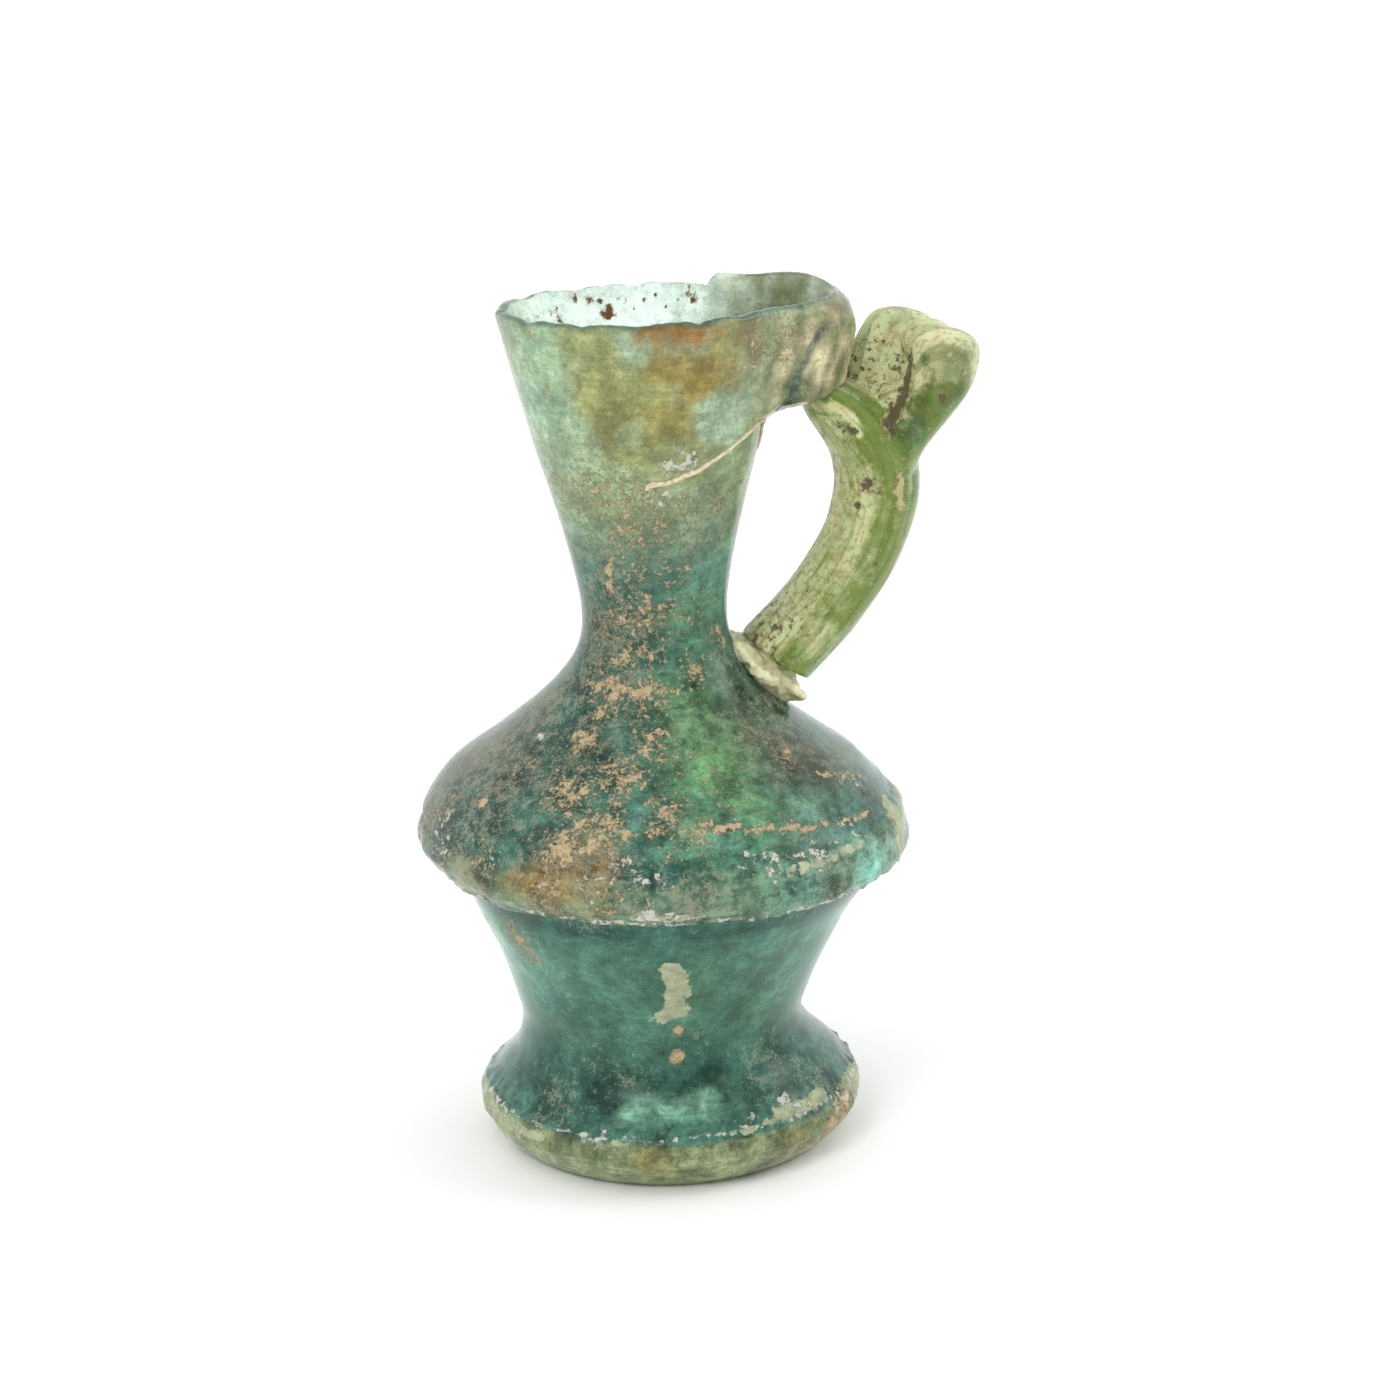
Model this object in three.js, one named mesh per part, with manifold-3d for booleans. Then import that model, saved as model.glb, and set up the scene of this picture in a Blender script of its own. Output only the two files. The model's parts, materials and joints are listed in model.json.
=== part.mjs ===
// An ancient free-blown glass juglet, about 115 mm tall, in millimetres, +Z up.
// One blown piece makes the splayed foot, the tapering lower body, the folded collar, the
// concave shoulder and the funnel neck. A thick bar of paler green glass makes the handle:
// it rises from the shoulder, is pinched into two lobes as a thumb rest, and ends in a lump
// pressed on the outside of the rim. Old yellowed adhesive holds its broken lower end.
// The vessel is built about the Z axis with the handle towards +X, and is then moved so that
// the origin is the middle of the whole object's bounding box, on the surface it stands on.
import * as THREE from "three";
import { mergeVertices } from "three/addons/utils/BufferGeometryUtils.js";
import Module from "manifold-3d";

const wasm = await Module();
wasm.setup();

// Driving dimensions of the vessel
const RIM_HEIGHT = 112;
const RIM_RADIUS = 18.3;
const RIM_WALL = 1.5;
const WALL = 1.7;
const NECK_WAIST_RADIUS = 9.55;
const NECK_WAIST_HEIGHT = 72.5;
const COLLAR_RADIUS = 32.5;
const COLLAR_BOTTOM = 39.2;
const COLLAR_TOP = 46.2;
const BODY_WAIST_RADIUS = 18.8;
const BODY_WAIST_HEIGHT = 16.5;
const FOOT_RADIUS = 25.9;
const FOOT_WIDEST_HEIGHT = 4.6;
const REST_INNER = 20.2;
const REST_OUTER = 21.7;
const KICK_HEIGHT = 10.8;
const FLOOR_HEIGHT = 13.2;
const LATHE_SEGMENTS = 48;

// The lobe where the mouth was pulled out for the handle, and the lump of glass on it
const LOBE_ANGLE = THREE.MathUtils.degToRad(3);
const LOBE_SPREAD = THREE.MathUtils.degToRad(22);
const LOBE_REACH = 7.7;
const LOBE_START = 95;
const LUMP_SPREAD = THREE.MathUtils.degToRad(24);
const LUMP_THICKNESS = 8.7;
const LUMP_BOTTOM = 96.4;
const LUMP_SHELF = 3.6;
const LUMP_TOP = 111.7;
const RAISED_RIM = 2;

// How far the blown rings wander from the axis towards +X: [height, shift]
const WANDER = [[0, 1], [9, 1.2], [16.5, 0.2], [31, 1], [39, 2.1], [44, 0.8], [49, -0.3], [56, 0.1], [68, 0.8],
  [86, 0.6], [112, 0]];

// The handle's bar and its joint with the shoulder
const BAR_HALF_THICKNESS = 5.3;
const BAR_HALF_WIDTH = 6.3;
const FOOT_OF_BAR = { x: 16.9, z: 64.2 };
const BREAK_SLOPE = THREE.MathUtils.degToRad(37);
const SHOULDER_SLOPE = THREE.MathUtils.degToRad(40.5);
const GLUE_SIZE = { length: 7.4, width: 6.4, thickness: 4.6 };
const JOINT_GAP = 0.3;

const point = ([r, z]) => new THREE.Vector2(r, z);
const smooth = (low, high, value) => THREE.MathUtils.smoothstep(value, low, high);

// A smooth curve through the given [radius, height] points
function curveThrough(points, count) {
  return new THREE.SplineCurve(points.map(point)).getPoints(count);
}

// The pushed-in underside, from the axis out to the ring the foot rests on
function underside() {
  return curveThrough([[0, KICK_HEIGHT], [9, 10.3], [14, 8.9], [17.2, 6.4], [19.3, 3], [REST_INNER, 0]], 7);
}

// The rounded edge of the foot, its flare, and the lower body up to the folded collar
function footAndLowerBody() {
  return curveThrough(
    [[REST_OUTER, 0], [23.8, 1.7], [FOOT_RADIUS, FOOT_WIDEST_HEIGHT], [25.3, 7.2], [22.9, 9.6], [20.2, 12.6],
      [BODY_WAIST_RADIUS, BODY_WAIST_HEIGHT], [20, 21], [21.9, 26], [24.5, 31.5], [27.3, 36.6],
      [28.3, COLLAR_BOTTOM - 0.9]], 16);
}

// The collar: a lip that hangs over the lower body, a bulging band, and a crease above it
function collar() {
  return curveThrough(
    [[31.2, COLLAR_BOTTOM], [32.2, 40.7], [COLLAR_RADIUS, 42.6], [32.3, 44.4], [31.6, COLLAR_TOP - 0.5],
      [30.9, COLLAR_TOP]], 6);
}

// The shoulder, sweeping in to the waist of the neck and out again to the mouth
function shoulderAndNeck() {
  return curveThrough(
    [[30.6, 47.4], [27.5, 51], [23.3, 54], [19.3, 57], [15.2, 60.5], [11.9, 64.2], [10, 68],
      [NECK_WAIST_RADIUS, NECK_WAIST_HEIGHT], [10.5, 79], [12.2, 86], [14.3, 93.5], [15.1, 96.9], [15.4, 98.1],
      [15.65, 99.2], [16, 100.6], [16.9, 105], [RIM_RADIUS - 0.05, RIM_HEIGHT - 0.7]], 24);
}

function rimEdge() {
  return [[RIM_RADIUS - 0.35, RIM_HEIGHT - 0.1], [RIM_RADIUS - RIM_WALL + 0.35, RIM_HEIGHT - 0.1]].map(point);
}

// The inside, from the mouth down to the middle of the floor
function inside() {
  const neck = curveThrough(
    [[RIM_RADIUS - RIM_WALL, RIM_HEIGHT - 0.8], [15, 103], [12.8, 94], [10.6, 86], [8.8, 79],
      [NECK_WAIST_RADIUS - WALL, NECK_WAIST_HEIGHT], [8.3, 67.6], [10.1, 63.2], [13.4, 59.4], [17.6, 55.6],
      [21.7, 52.5], [25.6, 49.2], [28.3, 46.4], [29.5, 43], [28.3, 39.6], [25.4, 36.4]], 14);
  const body = curveThrough(
    [[24.2, 34.4], [22.6, 31.2], [20, 25.8], [18.1, 21], [BODY_WAIST_RADIUS - 2, BODY_WAIST_HEIGHT + 0.6],
      [15.2, 14.4], [10, FLOOR_HEIGHT], [0, FLOOR_HEIGHT + 0.3]], 7);
  return [...neck, ...body];
}

// How far the ring at a height is shifted towards +X
function wander(height) {
  const next = WANDER.findIndex(([z]) => z >= height);
  if (next <= 0) return WANDER.at(next)[1];
  const [[z0, s0], [z1, s1]] = [WANDER[next - 1], WANDER[next]];
  return THREE.MathUtils.lerp(s0, s1, smooth(z0, z1, height));
}

const bell = (angle, centre, spread) => Math.exp(-(((angle - centre) / spread) ** 2));

// Pulls the mouth out towards the handle, swells the lump on its outside and raises its back edge
function pullMouth(radius, angle, height, outer) {
  const rise = smooth(LOBE_START, RIM_HEIGHT, height);
  const shelf = smooth(LUMP_BOTTOM, LUMP_BOTTOM + LUMP_SHELF, height);
  const fade = THREE.MathUtils.clamp((LUMP_TOP - height) / (LUMP_TOP - LUMP_BOTTOM - LUMP_SHELF), 0, 1);
  const lump = outer ? LUMP_THICKNESS * shelf * fade ** 0.65 : 0;
  const reach = LOBE_REACH * rise * bell(angle, LOBE_ANGLE, LOBE_SPREAD) + lump * bell(angle, 0, LUMP_SPREAD);
  const behind = smooth(-0.1, 0.35, angle) * (1 - smooth(0.8, 0.92, angle));
  return { radius: radius + reach, height: height + RAISED_RIM * rise ** 2 * behind };
}

// Turns a closed profile about Z, then shapes the rings as the glassblower left them
function blown(outer, inner) {
  const geometry = new THREE.LatheGeometry([...outer, ...inner], LATHE_SEGMENTS);
  geometry.rotateX(Math.PI / 2);
  const position = geometry.getAttribute("position");
  const perColumn = outer.length + inner.length;
  for (let i = 0; i < position.count; i++) {
    const [x, y, z] = [position.getX(i), position.getY(i), position.getZ(i)];
    const angle = Math.atan2(y, x);
    const shaped = pullMouth(Math.hypot(x, y), angle, z, i % perColumn < outer.length);
    const radial = z < FLOOR_HEIGHT + 0.4 && Math.hypot(x, y) < 1e-6 ? 0 : 1;
    position.setXYZ(i, shaped.radius * Math.cos(angle) * radial + wander(z), shaped.radius * Math.sin(angle) * radial,
      shaped.height);
  }
  return geometry;
}

function solid(geometry) {
  const bare = geometry.clone();
  bare.deleteAttribute("normal");
  bare.deleteAttribute("uv");
  const merged = mergeVertices(bare, 1e-4);
  return new wasm.Manifold(new wasm.Mesh({
    numProp: 3,
    vertProperties: merged.getAttribute("position").array,
    triVerts: new Uint32Array(merged.index.array),
  }));
}

function geometryOf(manifold) {
  const mesh = manifold.getMesh();
  const geometry = new THREE.BufferGeometry();
  geometry.setAttribute("position", new THREE.BufferAttribute(new Float32Array(mesh.vertProperties), 3));
  geometry.setIndex(new THREE.BufferAttribute(new Uint32Array(mesh.triVerts), 1));
  return geometry;
}

// A bar of soft glass along a path: [x, y, z, half thickness, half width] at each station.
// Round ends close it, each as long as its end station is thick.
function bar(stations, steps, sides, roundness = 0.5) {
  const path = new THREE.CatmullRomCurve3(stations.map(([x, y, z]) => new THREE.Vector3(x, y, z)));
  const sizes = new THREE.CatmullRomCurve3(stations.map(([, , , thick, wide]) => new THREE.Vector3(thick, wide, 0)));
  const geometry = new THREE.CylinderGeometry(1, 1, 1, sides, steps);
  const position = geometry.getAttribute("position");
  const corner = new THREE.Vector3();
  for (let i = 0; i < position.count; i++) {
    const along = position.getY(i) + 0.5;
    const centre = path.getPoint(along);
    const tangent = path.getTangent(along);
    const size = sizes.getPoint(along);
    const side = new THREE.Vector3(0, 1, 0).addScaledVector(tangent, -tangent.y).normalize();
    const across = tangent.clone().cross(side);
    const toEnd = Math.min(1, (0.5 - Math.abs(position.getY(i))) / 0.16 + 0.08);
    const dome = Math.sqrt(1 - (1 - toEnd) ** 2) ** (roundness * 2);
    corner.copy(centre)
      .addScaledVector(across, position.getX(i) * size.x * dome)
      .addScaledVector(side, position.getZ(i) * size.y * dome);
    position.setXYZ(i, corner.x, corner.y, corner.z);
  }
  return solid(geometry);
}

// The bar from the broken end on the shoulder up, and over to the lump under the rim
function stemAndArm() {
  const [t, w] = [BAR_HALF_THICKNESS, BAR_HALF_WIDTH];
  return bar([[11.9, 1.8, 58.9, t, w], [FOOT_OF_BAR.x, 1.3, FOOT_OF_BAR.z, t, w], [23.4, 0.7, 71.2, t, w],
    [28.2, 0.2, 78.6, t + 0.1, w], [30.5, 0, 85.6, t + 0.3, w], [30, 0, 91, t + 0.2, w + 0.1],
    [26.9, 0, 95.7, t - 0.9, w], [21.4, 0, 100.4, t - 1.6, w - 0.5]], 20, 18);
}

// The near roll of the thumb rest, which leans outwards
function nearRoll() {
  return bar([[30.6, -1.4, 87.2, 3.9, 5], [33, -2.2, 93, 3.5, 5], [36.2, -3, 98, 3.9, 4.9],
    [38.9, -3.4, 101.8, 4.1, 4.5], [40, -3.4, 106, 3.9, 4]], 10, 16, 0.75);
}

// The far leaf of the thumb rest, a flattened fold that stands behind the roll
function farLeaf() {
  return bar([[30.2, 1.8, 89, 4.4, 4.2], [31.2, 2.8, 95, 5.6, 3.7], [33.7, 3.6, 100.6, 6.7, 3.4],
    [37.6, 4, 108.4, 6, 3.1]], 10, 16, 0.7);
}

// A large box whose top face is the plane of the handle's broken end, lowered by a gap
function belowBreak(lowered) {
  const size = 80;
  const box = new THREE.BoxGeometry(size, size, size).translate(0, 0, -size / 2 - lowered);
  box.rotateY(BREAK_SLOPE).translate(FOOT_OF_BAR.x, 0, FOOT_OF_BAR.z);
  return solid(box);
}

// Adhesive on the shoulder, under the broken end of the bar
function gluePad() {
  const { length, width, thickness } = GLUE_SIZE;
  const lens = new THREE.SphereGeometry(1, 20, 12).scale(length, width, thickness);
  lens.rotateY(SHOULDER_SLOPE).translate(FOOT_OF_BAR.x - 2.2, 1.4, FOOT_OF_BAR.z - 1.6);
  return solid(lens);
}

const BLUE_GREEN_GLASS = new THREE.MeshStandardMaterial({ color: 0x2f6f5d, roughness: 0.38, metalness: 0 });
const PALE_GREEN_GLASS = new THREE.MeshStandardMaterial({ color: 0x8fa65a, roughness: 0.28, metalness: 0 });
const OLD_ADHESIVE = new THREE.MeshStandardMaterial({ color: 0xc9bf8c, roughness: 0.6, metalness: 0 });

const outside = [...underside(), ...footAndLowerBody(), ...collar(), ...shoulderAndNeck(), ...rimEdge()];
const vesselGeometry = blown(outside, inside());

// The vessel's outside, swollen by the joint gap, cuts what is fixed on the glass
const axisTop = [new THREE.Vector2(0, RIM_HEIGHT + 6)];
const swollen = outside.map(({ x, y }) => new THREE.Vector2(x > 0 ? x + JOINT_GAP * 1.3 : 0, y));
const envelope = solid(blown(swollen, axisTop));

const handleSolid = stemAndArm().add(nearRoll()).add(farLeaf()).subtract(belowBreak(0)).subtract(envelope);
const glueSolid = gluePad().intersect(belowBreak(JOINT_GAP)).subtract(envelope);

const juglet = new THREE.Group();
for (const [name, geometry, material] of [
  ["vessel", vesselGeometry, BLUE_GREEN_GLASS],
  ["handle", geometryOf(handleSolid), PALE_GREEN_GLASS],
  ["adhesive", geometryOf(glueSolid), OLD_ADHESIVE],
]) {
  const mesh = new THREE.Mesh(geometry, material);
  mesh.name = name;
  juglet.add(mesh);
}

const box = new THREE.Box3().setFromObject(juglet);
const middle = box.getCenter(new THREE.Vector3());
juglet.position.set(-middle.x, -middle.y, -box.min.z);

export default juglet;
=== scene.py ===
"""The looks of a small ancient glass jug: its blown vessel, its applied handle and the old glue.

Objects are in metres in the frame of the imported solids. Shapes are worked out in millimetres
about the vessel's own axis, with the handle towards +X and angles counted from there.
"""
import json
import math

import bmesh
import bpy
import numpy as np
from bpy.props import FloatProperty, FloatVectorProperty, IntProperty, PointerProperty
from bpy.types import Operator, Panel, PropertyGroup
from mathutils import Matrix, Vector, noise


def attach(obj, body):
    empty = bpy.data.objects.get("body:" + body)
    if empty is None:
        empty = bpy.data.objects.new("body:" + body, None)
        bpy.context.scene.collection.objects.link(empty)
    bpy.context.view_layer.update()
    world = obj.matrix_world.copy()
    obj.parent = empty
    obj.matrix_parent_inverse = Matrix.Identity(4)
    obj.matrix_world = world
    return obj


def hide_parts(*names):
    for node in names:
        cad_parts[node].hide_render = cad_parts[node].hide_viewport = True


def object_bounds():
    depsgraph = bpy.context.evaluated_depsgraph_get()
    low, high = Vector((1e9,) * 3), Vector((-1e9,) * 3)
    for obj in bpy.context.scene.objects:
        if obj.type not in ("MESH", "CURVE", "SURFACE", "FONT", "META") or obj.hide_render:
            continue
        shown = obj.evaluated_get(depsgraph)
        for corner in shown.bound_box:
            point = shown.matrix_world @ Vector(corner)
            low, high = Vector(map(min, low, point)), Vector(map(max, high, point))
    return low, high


bl_info = {
    "name": "Ancient Glass Jug",
    "version": (1, 0, 0),
    "blender": (4, 5, 0),
    "location": "View3D > Sidebar > Glass Jug",
    "description": "Builds a weathered free-blown glass jug with an applied handle",
    "category": "Object",
}

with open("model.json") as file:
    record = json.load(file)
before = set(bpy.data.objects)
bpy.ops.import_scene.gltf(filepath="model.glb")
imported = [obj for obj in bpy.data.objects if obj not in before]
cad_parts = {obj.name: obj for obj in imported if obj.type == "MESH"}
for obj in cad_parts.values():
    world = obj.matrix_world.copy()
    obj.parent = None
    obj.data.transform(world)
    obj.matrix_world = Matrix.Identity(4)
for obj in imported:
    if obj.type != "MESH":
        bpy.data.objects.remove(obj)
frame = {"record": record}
CAD_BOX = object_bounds()

MM = 0.001
# The ring that the foot stands on is blown 1 mm off the vessel's axis, towards the handle
FOOT_SHIFT = 1.0
AXIS_X = frame["record"]["mounts"][0]["pos_m"][0] / MM - FOOT_SHIFT
# The side of the vessel that carries most of the stain and crust
STAINED_SIDE = math.radians(-100)

# How far the blown rings wander from the axis towards the handle: height, shift
WANDER = [
    (0, 1), (9, 1.2), (16.5, 0.2), (31, 1), (39, 2.1), (44, 0.8), (49, -0.3), (56, 0.1), (68, 0.8),
    (86, 0.6), (112, 0),
]
# Rows of the half outline that lie on the underside and its ring, and on the inner half of the rim
UNDER_ROWS = 29
INNER_RIM_ROWS = 5


def stroke(start, end, reach, strength):
    """Marks close together on a line between two (angle, height) places."""
    turn, rise = end[0] - start[0], end[1] - start[1]
    steps = max(2, int(abs(rise) + abs(turn) * 0.35) * 2)
    return [(start[0] + turn * k / steps, start[1] + rise * k / steps, reach, strength)
            for k in range(steps + 1)]


# Marks on the outside of the vessel: angle in degrees, height, reach in mm, strength
CRUST_MARKS = [
    (-110, 79, 4, 0.44), (-125, 81, 5, 0.42), (-85, 79, 5, 0.36), (-137, 72, 4, 0.4), (-126, 64, 5, 0.48),
    (-103, 63.5, 4, 0.48), (-105, 73, 5, 0.44), (-120, 68, 4, 0.46), (-85, 73, 5, 0.38),
    (-60, 75, 4, 0.3), (-40, 69, 4, 0.34), (-75, 66, 5, 0.38), (-129, 58.7, 2.6, 0.66),
    (-128, 61.5, 1.2, 0.6), (-127, 54, 5.5, 0.5), (-109, 55.3, 5, 0.5), (-111, 51, 5, 0.54),
    (-121, 48.8, 3.2, 0.7), (-113, 49.5, 2.4, 0.62), (-152, 51.4, 1.1, 0.95), (-150, 55, 6, 0.4),
    (-165, 50, 6, 0.46), (-176, 47, 6, 0.48), (-98, 58, 4, 0.44), (-96, 52, 4, 0.5), (-88, 50.5, 3, 0.45),
    (-60, 50, 4, 0.26), (-45, 56, 5, 0.3), (-103, 41.3, 3, 0.4), (-148, 33, 5, 0.44), (-152, 90, 8, 0.36),
    (-130, 90, 7, 0.4), (-110, 88, 6, 0.4), (-92, 86, 6, 0.38), (-74, 84, 5, 0.3), (-58, 88, 5, 0.3),
    (-93, 21.1, 0.9, 1), (-93, 16.8, 1.3, 1.2), (-33, 6.7, 3, 0.66), (-44, 4.2, 2, 0.85),
    (-38, 5.4, 3, 0.6), (-144, 101, 5, 0.22), (-27, 107.7, 5, 0.3), (11, 110.7, 5, 0.3),
    (-7, 104, 5, 0.28), (-42, 107, 3, 0.32), (-43, 104.6, 0.7, 0.8), (60, 55, 7, 0.36), (100, 50, 7, 0.4),
    (20, 50, 6, 0.3), (150, 60, 6, 0.3), (80, 70, 5, 0.3), (45, 85, 6, 0.25), (120, 30, 6, 0.25),
    (60, 25, 6, 0.25), (170, 20, 5, 0.2), (100, 8, 5, 0.35), (140, 46, 5, 0.35), (60, 42, 5, 0.3),
    (95, 78, 4, 0.36), *stroke((-86, 50.9), (-59, 48.7), 0.55, 0.64),
    *stroke((-59, 48.6), (-34, 47), 0.5, 0.6), *stroke((-40, 52.8), (-24, 50.5), 0.6, 0.6),
    (-130, 78, 4, 0.44), (-118, 73, 4, 0.46), (-112, 84, 3.5, 0.42), (-140, 84, 4, 0.36),
    (-148, 66, 5, 0.42), (-98, 68, 3, 0.42), (-124, 43.4, 4, 0.46), (-110, 43, 3, 0.42),
    (-141, 46, 4, 0.46), (-158, 45, 4, 0.42), (-176, 54, 8, 0.36), (-168, 61, 6, 0.36),
    (-180, 46, 5, 0.36), (-52, 3, 2, 0.5), (-42, 3.6, 1.6, 0.62),
]
SCALE_MARKS = [
    (-85, 93.9, 2.6, 0.56), (-76, 94.6, 2, 0.5), (-89, 89.6, 2.2, 0.56), (-78, 88.6, 2, 0.45),
    (-97, 91, 2, 0.4), (-103, 41.3, 1.6, 0.6), (-98, 40.6, 1.4, 0.6), (-60, 46, 3, 0.42),
    (-45, 46.3, 3, 0.45), (-74, 45.7, 3, 0.42), (-101, 45.7, 3, 0.42), (-113, 45.4, 3, 0.4),
    (-105, 47.5, 2, 0.42), (-162, 47, 5, 0.36), (-150, 48.5, 2, 0.36), (-140, 47, 3, 0.3),
    (-58, 9.2, 2.8, 0.45), (-75, 8.4, 2.4, 0.3), (-120, 8, 3, 0.3), (90, 92, 5, 0.3), (130, 46, 4, 0.4),
    (30, 44, 4, 0.4), (60, 10, 4, 0.36), (-30, 51, 3, 0.25), (-150, 58, 2, 0.3), (-166, 6, 3, 0.45),
    (-150, 6, 2, 0.4), *stroke((-76, 46.2), (-42, 46.6), 0.7, 0.4),
    *stroke((-106, 40.5), (-92, 40.3), 0.7, 0.6), *stroke((-60, 9), (-50, 8.6), 1.6, 0.4),
    *stroke((-40, 7), (-22, 7.4), 1.6, 0.36),
]
GRIME_MARKS = [
    (-60, 13, 6, 0.27), (-120, 14, 6, 0.2), (-90, 20, 5, 0.2), (-140, 10, 5, 0.3), (-40, 10, 5, 0.3),
    (-150, 52, 11, 0.55), (-175, 49, 9, 0.6), (-178, 55, 9, 0.75), (-168, 61, 8, 0.7),
    (-130, 60, 8, 0.45), (-140, 70, 7, 0.55), (-145, 78, 6, 0.45), (-30, 58, 6, 0.32),
    (-120, 48, 7, 0.42), (-85, 60, 6, 0.2), (-100, 86, 8, 0.2), (-60, 84, 6, 0.3), (-45, 66, 6, 0.26),
    (-50, 57, 7, 0.3), (-25, 52, 7, 0.3), (-140, 30, 6, 0.2), (-150, 43, 7, 0.5), (-120, 42, 7, 0.5),
    (-92, 42, 6, 0.45), (-60, 42, 6, 0.4), (-100, 42, 7, 0.3), (80, 52, 14, 0.3), (130, 60, 10, 0.3),
    (60, 80, 8, 0.2), (90, 42, 8, 0.3), (110, 10, 8, 0.3), (20, 60, 8, 0.25), (90, 22, 9, 0.2),
]
# Where the body is thin and clean, so that the light comes through. The pale mint painted from these marks
# is a painted glow along the lower body's edges and a painted highlight on the foot's slope
PEARL_GLOW_MARKS = [
    (-101, 10.7, 1.7, 1), (-108, 10.6, 2, 1), (-113, 10.2, 1.4, 1), (-95, 10.8, 2, 0.8),
    (-86, 11.2, 2, 0.6), (-14, 27, 6, 0.9), (-26, 32, 4, 0.8), (-20, 36, 3, 0.8), (-8, 33, 5, 0.9),
    (-172, 30, 5, 0.9), (-165, 24, 5, 0.6), (-178, 35, 4, 0.9), (-158, 33, 3, 0.5), (-40, 30, 4, 0.4),
]
# Pale opaque patches: the scar in front and the crusts along the foot's rim and the collar
PALE_MARKS = [
    (-98.6, 32, 1.1, 0.9), (-96.8, 30.8, 1.7, 1), *stroke((-95.6, 30.4), (-94.8, 27.4), 1.7, 1),
    *stroke((-95.2, 27), (-96, 24.6), 1.6, 1), *stroke((-99, 23.4), (-92.6, 23.8), 1.4, 1),
    (-102.4, 22.8, 1.1, 0.8), (-90, 24.4, 0.9, 0.8), *stroke((-26, 42), (-22, 46), 2.4, 1),
    (-103, 41.2, 1, 0.6), (-58, 9, 1.4, 0.7), *stroke((-176, 7), (-158, 5.4), 1.2, 0.85),
    *stroke((-158, 5.6), (-140, 6.2), 1, 0.8), *stroke((-128, 7.2), (-112, 7.4), 0.6, 0.7),
    *stroke((-80, 8), (-60, 8.2), 0.8, 0.7), *stroke((-62, 8.6), (-42, 8.4), 1.5, 0.85),
    *stroke((-30, 8), (-14, 7.4), 1.2, 0.8), *stroke((-70, 44.6), (-46, 45.2), 1, 0.65),
    *stroke((-106, 41), (-94, 40.6), 0.9, 0.75), *stroke((100, 8), (140, 7), 1.2, 0.8),
    *stroke((40, 7.4), (60, 8), 1, 0.7), *stroke((70, 43), (76, 41), 1.6, 0.8),
]
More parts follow.
